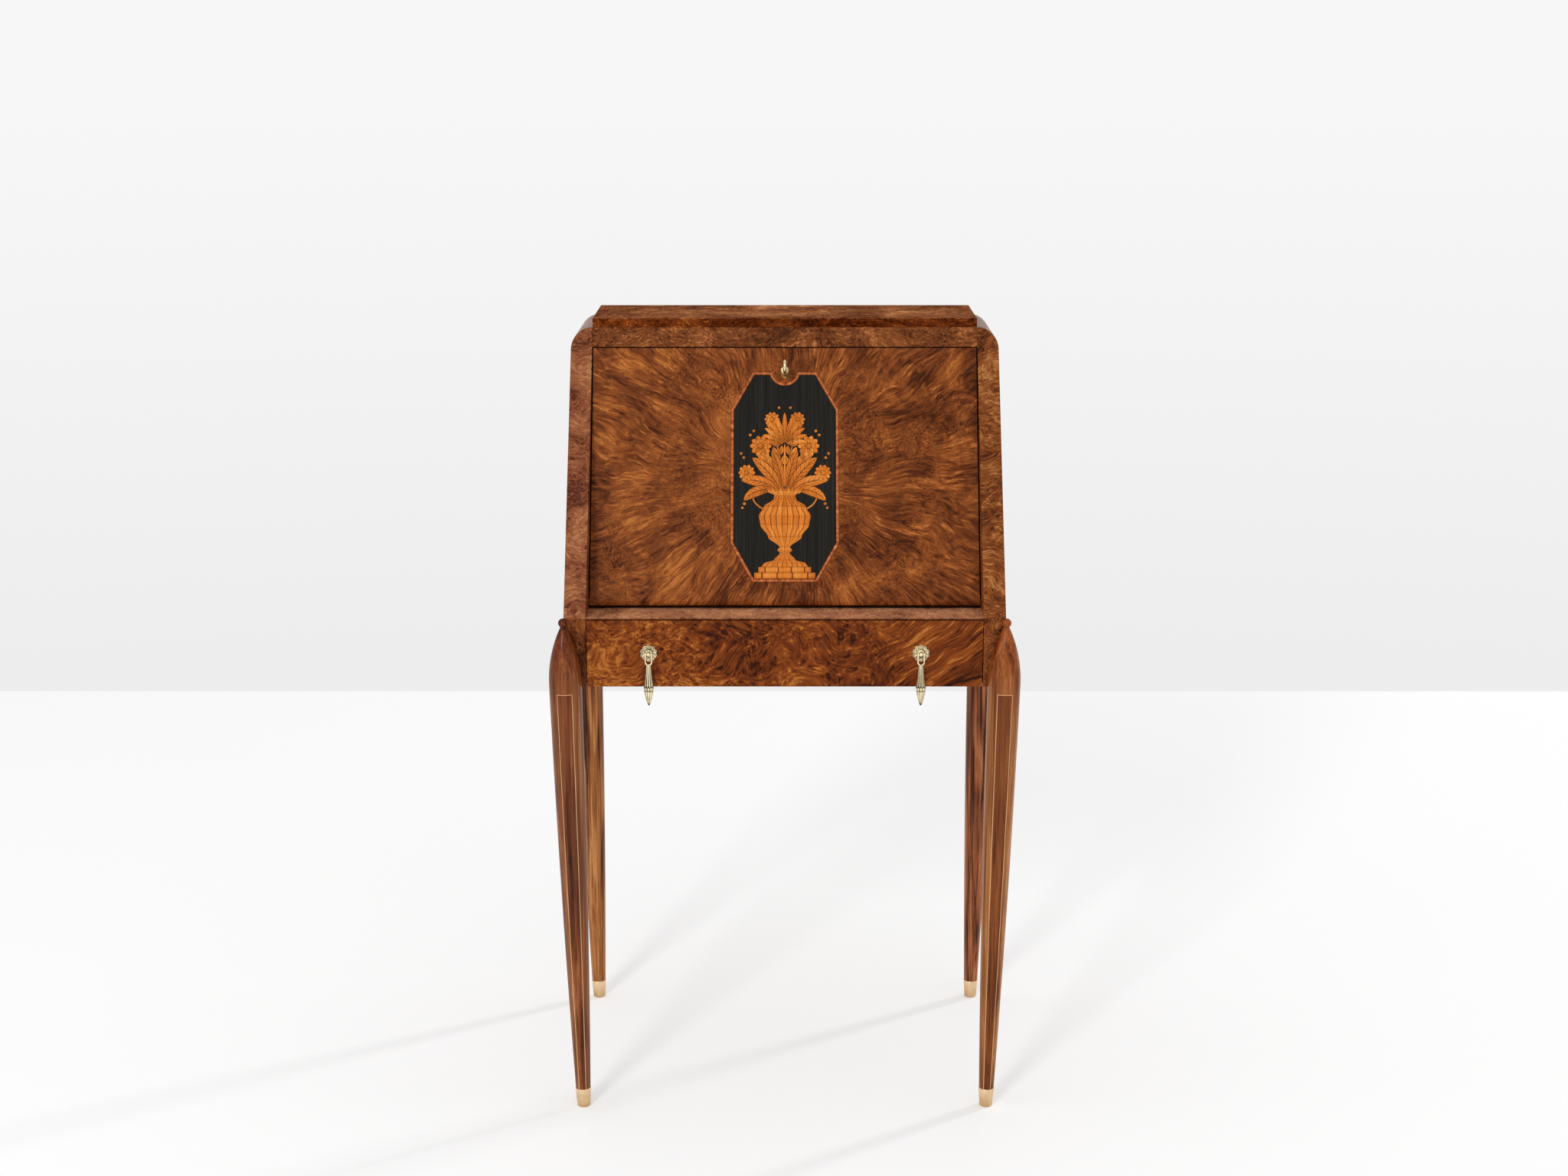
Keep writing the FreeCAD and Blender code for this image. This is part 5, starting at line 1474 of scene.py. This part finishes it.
@dataclass(frozen=True)
class InlaidPanel:
    """The eight-sided panel in the fall: ebony field, crossbanded border with its bay, satinwood design.

    The design is drawn across and up from the panel's middle; stems, leaves, blooms and berries are given
    for the right half. A row of arching holds a leaf's root, its angle in degrees, length, half width and
    bend; one of blooms or berries, a middle and a radius; one of steps, a half width, foot and head; one of
    rings, a half width and a height. small_leaf is a length and a half width, and small_leaf_turn how far it
    stands off its stem and bends back; petal a root, length and half width over the bloom's radius; palm a
    length, its loss for each radian from upright and a half width; palm_heart the height and the radius of the
    circle that the palm starts from; spine a foot, length and half width.
    """

    plane: FallPlane
    half_width: float = 77.0
    foot: float = 24.0
    top: float = 329.93
    corner_across: float = 31.0
    corner_up: float = 55.5
    band: float = 4.6
    bay_radius: float = 17.5
    bay_rise: float = 1.5
    proud: float = 0.03
    thickness: float = 0.8
    overlap: float = 0.6
    tone_range: Pair = (0.4, 0.66)
    steps: tuple[Triple, ...] = ((43.0, -147.8, -139.5), (37.0, -139.2, -131.3))
    rings: tuple[Pair, ...] = (
        (33.0, -131.0), (30.0, -126.0), (15.0, -121.0), (7.0, -111.0), (10.5, -107.0), (7.5, -103.0),
        (24.0, -88.0), (35.0, -70.0), (37.0, -58.0), (30.0, -44.0), (16.0, -33.0), (15.0, -28.0),
        (25.0, -21.0), (27.0, -18.0))
    stem_curves: tuple[tuple[Pair, Pair, Pair, Pair], ...] = (
        ((5.0, -18.0), (10.0, 6.0), (27.0, 16.0), (34.0, 42.0)),
        ((10.0, -18.0), (24.0, -2.0), (44.0, -14.0), (54.0, 4.0)),
        ((3.0, -18.0), (3.0, 24.0), (14.0, 52.0), (18.0, 80.0)),
        ((29.0, -48.0), (54.0, -38.0), (50.0, -10.0), (18.0, -25.0)))
    stem_widths: Pair = (1.1, 0.8)
    leafy_stems: tuple[int, int] = (0, 2)
    leafy_part: Pair = (0.3, 0.86)
    leaf_pairs: int = 5
    small_leaf: Pair = (15.0, 3.6)
    small_leaf_turn: Pair = (0.8, 0.7)
    arching: tuple[tuple[float, float, float, float, float, float], ...] = (
        (3.0, -18.0, 84.0, 58.0, 7.4, -0.3), (7.0, -18.0, 63.0, 60.0, 8.6, -0.45),
        (12.0, -19.0, 38.0, 53.0, 8.6, -0.75), (17.0, -20.0, 13.0, 46.0, 7.6, -1.1))
    blooms: tuple[Triple, ...] = ((34.0, 44.0, 15.5), (54.0, 5.0, 12.0), (18.0, 83.0, 11.0))
    bloom_petals: int = 10
    inner_bloom: float = 0.62
    petal: Triple = (0.12, 0.88, 0.27)
    palm: Triple = (44.0, 13.0, 3.7)
    palm_heart: Pair = (46.0, 3.0)
    palm_fan: float = 1.2
    palm_curl: float = 0.4
    palm_petals: int = 11
    spine: Triple = (-18.0, 66.0, 1.4)
    berries: tuple[Triple, ...] = (
        (34.0, 44.0, 3.2), (54.0, 5.0, 2.6), (18.0, 83.0, 2.4), (44.0, 66.0, 2.0), (49.0, 60.0, 2.0),
        (58.0, 27.0, 2.0), (62.0, 33.0, 2.0), (8.0, 100.0, 1.9), (57.0, -40.0, 2.2), (60.0, -46.0, 1.8))

    @property
    def middle(self) -> float:
        """Height of the panel's middle up the fall."""
        return (self.foot + self.top) / 2

    def outline(self, inset: float) -> np.ndarray:
        """Draws the border's corners and its bay, an arc, from the bay's left end round.

        Args:
            inset: how far the outline is drawn in from the border's outer edge.

        Returns:
            The points across and up the fall.
        """
        slant = math.hypot(self.corner_across, self.corner_up)
        flat = self.half_width - self.corner_across - inset * (slant - self.corner_across) / self.corner_up
        shoulder = self.corner_up + inset * (slant - self.corner_up) / self.corner_across
        side, low, high = self.half_width - inset, self.foot + inset, self.top - inset
        left = np.array([
            (-flat, high), (-side, self.top - shoulder), (-side, self.foot + shoulder), (-flat, low)])
        right = left[::-1] * (-1.0, 1.0)
        radius = self.bay_radius + inset
        reach = math.acos((self.bay_rise + inset) / radius)
        centre = (0.0, self.top + self.bay_rise)
        bay = sweep(centre, (radius, radius), reach - QUARTER, -reach - QUARTER, 33)
        return np.concatenate([left, right, bay, left[:1]])

    def border(self, finish: Finish) -> None:
        """A flat band between two outlines; its map runs along and across the band.

        Args:
            finish: the crossbanding.
        """
        lines = np.stack([self.outline(0.0), self.outline(self.band)])
        points = self.plane.lay(lines[..., 0], lines[..., 1], self.proud)
        step = np.linalg.norm(np.diff(lines[0], axis=0), axis=1)
        along = np.concatenate([[0.0], np.cumsum(step)]) * MM
        piece = skin("border", points[None], chart="run", uv=together(along, [[0.0], [1.0]])[None])
        self.thicken(piece)
        install(piece, finish, "fall", "crossbanding", "inlay_banding")

    def thicken(self, piece: bpy.types.Object) -> None:
        """Gives a sheet of veneer its thickness, down into the fall.

        Args:
            piece: the sheet.
        """
        solid = piece.modifiers.new("veneer", "SOLIDIFY")
        solid.thickness = self.thickness * MM
        solid.offset = -1.0

    def leaves(self, root: np.ndarray, angle: np.ndarray | float, length: np.ndarray | float,
               width: np.ndarray | float, bend: np.ndarray | float, point: float) -> Patches:
        """Leaves as a function of the share along and across: a bending rib, widened by (4t(1-t)) to a power.

        Args:
            root: where each leaf starts.
            angle: its direction there.
            length: its length.
            width: half its width.
            bend: how far it turns over its length.
            point: the power, a half for an ellipse and more for a pointed leaf.

        Returns:
            The flat points and the map of shares.
        """
        rows = 15
        share = np.linspace(0.0, 1.0, rows)[:, None]
        across = np.linspace(-1.0, 1.0, 7)
        angle, length, width, bend = (
            np.broadcast_to(item, len(root))[:, None, None] for item in (angle, length, width, bend))
        heading = angle + bend * share
        step = length / (rows - 1)
        x = np.cumsum(np.cos(heading) * step, axis=1) - np.cos(angle) * step + root[:, None, None, 0]
        y = np.cumsum(np.sin(heading) * step, axis=1) - np.sin(angle) * step + root[:, None, None, 1]
        half = width * (4 * share * (1 - share)) ** point * across
        flat = together(x + half * np.sin(heading), y - half * np.cos(heading))
        return flat, np.broadcast_to(together(share, across), flat.shape)

    def stems(self) -> Patches:
        """Ribbons along the stems' curves, narrowing towards their ends.

        Returns:
            The flat points and the map of shares.
        """
        share = np.linspace(0.0, 1.0, 33)
        line, _ = cubic(np.array(self.stem_curves), share)
        way = np.gradient(line, axis=1)
        way /= np.linalg.norm(way, axis=2, keepdims=True)
        wide, narrow = self.stem_widths
        half = (wide + (narrow - wide) * share)[:, None]
        aside = together(way[..., 1], -way[..., 0]) * half
        across = np.linspace(-1.0, 1.0, 3)
        flat = line[:, :, None] + aside[:, :, None] * across[:, None]
        return flat, np.broadcast_to(together(0.6 + 0.4 * share[:, None], 0.5 * across), flat.shape)

    def both(self, flat: np.ndarray, uv: np.ndarray) -> Patches:
        """Adds the mirror image, with its columns reversed so that it faces the same way.

        Args:
            flat: the flat points.
            uv: their map.

        Returns:
            The points and the map of both halves.
        """
        other = flat[:, :, ::-1] * (-1.0, 1.0)
        return np.concatenate([flat, other]), np.concatenate([uv, uv[:, :, ::-1]])

    def inlay(self, name: str, finish: Finish, layer: int, *parts: Patches) -> None:
        """Lays flat patches on the field, each with a tone of its own and a hair over the one before it.

        Args:
            name: the piece's name.
            finish: the wood.
            layer: the layer that it lies in, which seeds the tones too.
            parts: patches of points from the panel's middle, and their maps of shares along and across.
        """
        flat, uv = (np.concatenate(arrays) for arrays in zip(*parts))
        patches, rows, columns = flat.shape[:3]
        order = np.linspace(0.0, self.overlap, patches)[:, None, None]
        points = self.plane.lay(flat[..., 0], flat[..., 1] + self.middle, self.proud * (1 + layer + order))
        piece = skin(name, points, chart="leaf", uv=uv)
        tones = np.random.default_rng(layer).uniform(*self.tone_range, patches)
        attribute = piece.data.attributes.new("tone", "FLOAT", "POINT")
        attribute.data.foreach_set("value", np.repeat(tones, rows * columns))
        self.thicken(piece)
        install(piece, finish, "fall", "crossbanding")

    def plinth(self, finish: Finish) -> None:
        """Two steps under the vase, the lower one as wide as the field allows.

        Args:
            finish: the wood.
        """
        half, foot, head = (np.array(column)[:, None, None] for column in zip(*self.steps))
        rise = np.linspace(0.0, 1.0, 3)[:, None]
        across = np.linspace(-1.0, 1.0, 9)
        flat = together(half * across, foot + (head - foot) * rise)
        joints = np.abs((across * 2.0) % 2 - 1) * 1.6 - 0.8
        uv = np.broadcast_to(together(0.3 + 0.5 * rise, joints), flat.shape)
        self.inlay("plinth", finish, 5, (flat, uv))

    def vase(self, finish: Finish) -> None:
        """A footed vase in courses: half width eases from one ring to the next, share by share.

        Args:
            finish: the wood.
        """
        share = np.linspace(0.0, 1.0, 9)
        courses = eased(np.array(self.rings), share)
        across = np.linspace(-1.0, 1.0, 25)
        flat = together(courses[..., :1] * across, courses[..., 1:])
        lobes = np.abs((across * 4.5) % 2 - 1) * 1.98 - 0.99
        uv = np.broadcast_to(together(0.35 + 0.65 * share[:, None], 0.55 * lobes), flat.shape)
        self.inlay("vase", finish, 6, (flat, uv))

    def sprays(self, leaf: Finish, joint: Finish) -> None:
        """Stems and the vase's handles, small leaves in pairs along two stems, broad leaves that arch out.

        Args:
            leaf: the wood of the leaves.
            joint: the wood of the stems.
        """
        self.inlay("stems", joint, 1, self.both(*self.stems()))
        leafy = np.array(self.stem_curves)[list(self.leafy_stems)]
        place, way = cubic(leafy, np.linspace(*self.leafy_part, self.leaf_pairs))
        heading = np.arctan2(way[..., 1], way[..., 0]).ravel()
        root = np.tile(place.reshape(-1, 2), (2, 1))
        side = np.repeat([1.0, -1.0], heading.size)
        off, back = self.small_leaf_turn
        small = self.leaves(root, np.tile(heading, 2) + side * off, *self.small_leaf, -side * back, 0.8)
        self.inlay("small_leaves", leaf, 2, self.both(*small))
        x, y, angle, length, width, bend = np.array(self.arching).T
        broad = self.leaves(together(x, y), np.radians(angle), length, width, bend, 0.72)
        self.inlay("broad_leaves", leaf, 3, self.both(*broad))

    def flowers(self, petal: Finish, joint: Finish) -> None:
        """Flowers of two rings of petals about a heart, a palm of petals over the vase, berries and a spine.

        Args:
            petal: the wood of the petals.
            joint: the wood of hearts, berries and spine.
        """
        count = self.bloom_petals
        start, length, width = self.petal
        blooms = np.array(self.blooms)
        parts = []
        for reach, spin in ((1.0, 0.0), (self.inner_bloom, math.pi / count)):
            size = np.repeat(blooms[:, 2] * reach, count)
            heading = np.tile(circle(count) + spin, len(blooms))
            way = together(np.cos(heading), np.sin(heading))
            root = np.repeat(blooms[:, :2], count, axis=0) + way * start * size[:, None]
            parts.append(self.both(*self.leaves(root, heading, size * length, size * width, 0.0, 0.55)))
        fan = np.linspace(-self.palm_fan, self.palm_fan, self.palm_petals)
        height, radius = self.palm_heart
        root = together(radius * np.sin(fan), height + radius * np.cos(fan))
        length, loss, width = self.palm
        palm = self.leaves(root, QUARTER - fan, length - loss * np.abs(fan), width, -self.palm_curl * fan, 0.6)
        self.inlay("petals", petal, 7, *parts, palm)
        x, y, radius = np.array(self.berries).T
        dots = self.leaves(together(x - radius, y), 0.0, 2 * radius, radius, 0.0, 0.5)
        foot, length, width = self.spine
        spine = self.leaves(np.array([(0.0, foot)]), QUARTER, length, width, 0.0, 0.25)
        self.inlay("berries", joint, 8, self.both(*dots), spine)

    def build(self, banding: Finish, ebony: Finish, leaf: Finish, petal: Finish, joint: Finish) -> None:
        """Lays the border and the design and dresses the field.

        Args:
            banding: the border's veneer.
            ebony: the field's veneer.
            leaf: satinwood engraved as leaves.
            petal: satinwood engraved as petals.
            joint: satinwood with plain joints.
        """
        self.border(banding)
        veneer_nodes(ebony, "inlay_field")
        self.plinth(joint)
        self.vase(joint)
        self.sprays(leaf, joint)
        self.flowers(petal, joint)


@dataclass(frozen=True)
class SoftBox:
    """A soft box that faces a target, with its places and its size in metres."""

    name: str
    place: Triple
    target: Triple
    size: Pair
    watts: float

    def build(self) -> None:
        """Adds the light, which the camera doesn't see."""
        data = bpy.data.lights.new(self.name, "AREA")
        data.shape = "RECTANGLE"
        data.size, data.size_y = self.size
        data.energy = self.watts
        lamp = bpy.data.objects.new(self.name, data)
        lamp.visible_camera = False
        lamp.location = self.place
        way = Vector(self.target) - Vector(self.place)
        lamp.rotation_euler = way.to_track_quat("-Z", "Y").to_euler()
        bpy.context.scene.collection.objects.link(lamp)


@dataclass(frozen=True)
class Studio:
    """Pale floor, soft light from above and the camera at the photograph's angle; places are in metres."""

    lens: float = 55.9
    sensor: float = 36.0
    tilt: float = math.radians(13.18)
    camera: Triple = (0.0, -3.463, 1.5317)
    shift: float = -1.0 / 2048
    floor_half: float = 9.0
    floor_back: float = 2.02
    daylight: float = 0.72
    wall: Pair = (-0.25, -0.03)
    wall_foot: str = "#ededed"
    wall_head: str = "#f7f7f7"
    boxes: tuple[SoftBox, ...] = (
        SoftBox("front_box", (-2.9, -6.8, 4.4), (0.0, 0.0, 0.7), (1.4, 2.0), 190.0),
        SoftBox("back_box", (9.3, 6.3, 5.4), (0.0, 0.0, 0.4), (1.1, 1.1), 315.0))

    def floor(self) -> None:
        """Lays a level sheet, wide and deep, that ends behind the desk."""
        across = np.array([-self.floor_half, self.floor_half]) / MM
        deep = np.array([[-self.floor_half], [self.floor_back]]) / MM
        piece = skin("studio_floor", together(across, deep, 0.0)[None])
        piece.data.materials.append(StudioPaper("studio_paper", "#f2f2f2").material())
        piece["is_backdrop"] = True

    def world(self) -> None:
        """An even white dome as light; to the eye and in gloss a wall that pales upwards from the floor."""
        world = bpy.data.worlds.new("studio")
        graph = Graph(world, "Background")
        height = graph.add("SeparateXYZ", graph.add("TexCoord", out="Generated"), out="Z")
        climb = graph.add("MapRange", height, *self.wall)
        shown = graph.add("ValToRGB", climb, stops=((0.0, self.wall_foot), (1.0, self.wall_head)))
        seen = graph.seen()
        colour = graph.add("Mix", seen, linear("#ffffff"), shown, data_type="RGBA")
        graph.shade(Color=colour, Strength=graph.add("MapRange", seen, 0.0, 1.0, self.daylight, 1.0))
        bpy.context.scene.world = world

    def view(self) -> None:
        """Sets up the camera."""
        data = bpy.data.cameras.new("camera")
        data.lens = self.lens
        data.sensor_width = self.sensor
        data.shift_x = self.shift
        camera = bpy.data.objects.new("camera", data)
        camera.location = self.camera
        camera.rotation_euler = (QUARTER - self.tilt, 0.0, 0.0)
        bpy.context.scene.collection.objects.link(camera)
        bpy.context.scene.camera = camera
        bpy.context.scene.view_settings.view_transform = "Standard"

    def build(self) -> None:
        """Sets up floor, world, soft boxes and camera."""
        self.floor()
        self.world()
        for box in self.boxes:
            box.build()
        self.view()


@dataclass(frozen=True)
class Desk:
    """The whole desk: boards by their veneers, legs, pulls, panel, lock and fittings."""

    plane: FallPlane
    joints: dict[str, dict]
    feet: dict[str, Triple]
    front_head: float = 306.5
    rear_head: float = 308.5
    head_height: float = 718.5
    lid_sheet: float = 0.4
    lip_sheet: float = 0.3
    leather_middle: float = 164.2
    leather_half: Pair = (235.0, 118.2)

    def boards(self) -> None:
        """Dresses the show boards."""
        # Burr with its curls drawn out level: the stiles look banded across, the left one paler.
        stile = BurrWalnut("burr_walnut_stiles", STILE_TONES, curl=9.0, eye=11.0, stretch=(3.2, 3.2, 1.0))
        veneer_nodes(stile, "upper_right_side")
        veneer_nodes(replace(stile, name="burr_walnut_left_stile", tones=LEFT_STILE_TONES), "upper_left_side")
        # Burr with upright curls in darker tones: the base looks heavier than the case over it.
        base = BurrWalnut("burr_walnut_base", BASE_TONES, cloud=50.0, curl=9.0, stretch=(1.0, 1.0, 3.0))
        veneer_nodes(base, "base_left_side", "base_right_side")
        # Burr drawn out along the rail: a calm strip between the fall and the top.
        rail = BurrWalnut("burr_walnut_rail", RAIL_TONES, cloud=90.0, curl=11.0, stretch=(2.2, 1.0, 1.0))
        veneer_nodes(rail, "upper_rail")
        # The top's edge is darker than its lid, and its polish is duller than that of the other boards.
        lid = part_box("top_board")[1].z / MM - self.lid_sheet
        top = EdgedBurr("burr_walnut_top", TOP_TONES, cloud=70.0, curl=11.0, eye=11.0,
                        stretch=(2.6, 1.4, 1.0), specular=0.0, coat=0.012, sheet=LID_TONES,
                        axis=(0.0, 0.0, 1.0), level=lid)
        veneer_nodes(top, "top_board")
        # The ledge's face is painted pale as painted light and sheen from above, and its lip is painted dark as a
        # painted shadow line.
        lip = -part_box("writing_bed")[0].y / MM - self.lip_sheet
        ledge = EdgedBurr("pale_walnut_ledge", LIT_LEDGE_TONES, cloud=60.0, curl=12.0, stretch=(1.0, 2.4, 1.0),
                          specular=0.04, sheet=SHADED_LIP_TONES, axis=(0.0, -1.0, 0.0), level=lip)
        veneer_nodes(ledge, "writing_bed")
        # The two best sheets face the sitter: flames from the panel outwards, and one across the drawer.
        veneer_nodes(SunburstWalnut("sunburst_walnut", FALL_TONES, plane=self.plane), "fall_panel")
        veneer_nodes(FlameWalnut("flame_walnut", DRAWER_TONES), "drawer_front")

    def fittings(self) -> None:
        """Dresses the linings, the gallery and the plain carcass boards."""
        # Waxed maple: the gallery looks light and plain inside the dark case.
        maple = StraightWood("maple_across", MAPLE_TONES, grain=Grain.ACROSS, roughness=0.4)
        veneer_nodes(maple, "gallery_shelf", "left_drawer_shelf", "right_drawer_shelf", "fall_stop",
                     "sub_top", "left_inner_drawer", "right_inner_drawer")
        veneer_nodes(replace(maple, name="maple_deep", grain=Grain.BACKWARD), "left_divider", "right_divider")
        # Bare beech: pale and dry, as drawer linings are.
        beech = StraightWood("beech_deep", BEECH_TONES, grain=Grain.BACKWARD, roughness=0.45)
        veneer_nodes(beech, "drawer_left_side", "drawer_right_side")
        veneer_nodes(replace(beech, name="beech_across", grain=Grain.ACROSS), "drawer_back", "drawer_bottom")
        # Stained softwood: dull brown, so that back and floor keep out of sight.
        carcass = StraightWood("stained_softwood", CARCASS_TONES, grain=Grain.ACROSS, roughness=0.5)
        veneer_nodes(carcass, "base_back", "base_floor", "drawer_runners", "leg_dowels")
        back = StraightWood("stained_back", CARCASS_TONES, roughness=0.45, streak=(16.0, 500.0))
        veneer_nodes(back, "back_panel")

    def metal(self) -> None:
        """Dresses the lock, the key, the hinges, the inner knobs and the pins of the pulls."""
        # Turned brass: a pale yellow with sharp glints, browner in clouds.
        brass = Brass("turned_brass", "#cdb27a", "#5e4a26", 0.24)
        veneer_nodes(brass, "escutcheon", "lock_case", "strike_plate", "left_hinge_plate",
                     "right_hinge_plate", "left_hinge_leaf", "right_hinge_leaf", "left_inner_knob",
                     "right_inner_knob", "pull_pins")
        # A key that hands have kept bright.
        veneer_nodes(Brass("key_brass", "#e2d3a6", "#8a7647", 0.2), "key")
        # Bare steel, grey beside the brass.
        veneer_nodes(FiledSteel("filed_steel"), "lock_bolt")

    def legs(self) -> None:
        """Builds the four legs with their shoes; a leg leans from its foot to its ball."""
        # Straight walnut under a fuller polish: long streaks that lead the eye down to the shoes.
        dress = {
            "front_left": {"tones": LEG_TONES, "panel": "#dcc8be", "shade": "#c79a78",
                           "spread": (0.27, 0.73)},
            "front_right": {"tones": ORANGE_LEG_TONES, "panel": "#c0a896", "shade": "#f0cba8",
                            "spread": (0.27, 0.73)},
            "rear_left": {"tones": ORANGE_LEG_TONES, "spread": (0.34, 0.66)},
            "rear_right": {"tones": DARK_LEG_TONES, "spread": (0.34, 0.66)}}
        # Shoe brass, worn satin: pinkish gold at the lip and browner towards the floor, by painted shade with
        # patina.
        bronze = Brass("shoe_brass", "#f0d2a8", "#a87d4a", 0.34, hollows=True, cloud=14.0)
        for name, looks in dress.items():
            foot = self.feet[f"{name}_foot"]
            head = self.front_head if name.startswith("front") else self.rear_head
            splay = math.atan((math.copysign(head, foot[0]) - foot[0]) / self.head_height)
            leg = Leg(name, foot, splay, math.copysign(1.0, foot[1]))
            leg.shaft(StringedWalnut(f"{name}_walnut", specular=0.12, coat=0.06, streak=(13.0, 330.0),
                                     wander=0.9, **looks))
            leg.shoe(bronze)

    def pulls(self) -> None:
        """Builds the two drop pulls on the pins that they swing on."""
        # Cast brass, rubbed pale on every edge and nearly black in the hollows with patina and painted shade, so
        # that the petals read.
        cast = Brass("cast_brass", "#f6e8c4", "#4a3d1e", 0.26, hollows=True)
        for hand in ("left", "right"):
            x, y, z = self.joints[f"{hand}_pull_swing"]["pos_m"]
            DropPull(hand, (x / MM, y / MM, z / MM)).build(cast)

    def panel(self) -> None:
        """Builds the inlaid panel and dresses the writing leather."""
        # A ribbed orange border, a black field that lets it glow, and satinwood that shines out of the black.
        banding = Crossbanding("crossbanded_walnut", BANDING_TONES)
        ebony = Ebony("ebonised_veneer", EBONY_TONES, plane=self.plane)
        woods = [Satinwood(f"satinwood_{cut.value}", SATIN_TONES, plane=self.plane, engraving=cut)
                 for cut in Engraving]
        InlaidPanel(self.plane).build(banding, ebony, *woods)
        # Old leather: dark, dull and soft beside the polish, with a thin line of gilt.
        leather = Leather("writing_leather_brown", self.plane, self.leather_middle, self.leather_half)
        veneer_nodes(leather, "writing_leather")

    def build(self) -> None:
        """Builds and dresses everything."""
        self.boards()
        self.fittings()
        self.metal()
        self.legs()
        self.pulls()
        self.panel()


def write_size() -> None:
    """Turns the solids' box and the dressed desk's box into plain lists, which it doesn't write anywhere."""
    boxes = {"cad": cad_box, "visual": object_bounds()}
    plain = {key: [list(corner) for corner in corners] for key, corners in boxes.items()}


def main() -> None:
    """Builds the desk and the studio."""
    logging.basicConfig(level=logging.INFO, format="%(name)s: %(message)s")
    joints = {joint["name"]: joint for joint in frame["joints"]}
    mounts = frame["record"]["mounts"]
    feet = {mount["name"]: tuple(value / MM for value in mount["pos_m"]) for mount in mounts}
    Desk(FallPlane.from_joints(joints), joints, feet).build()
    Studio().build()
    write_size()


if __name__ == "__main__":
    main()
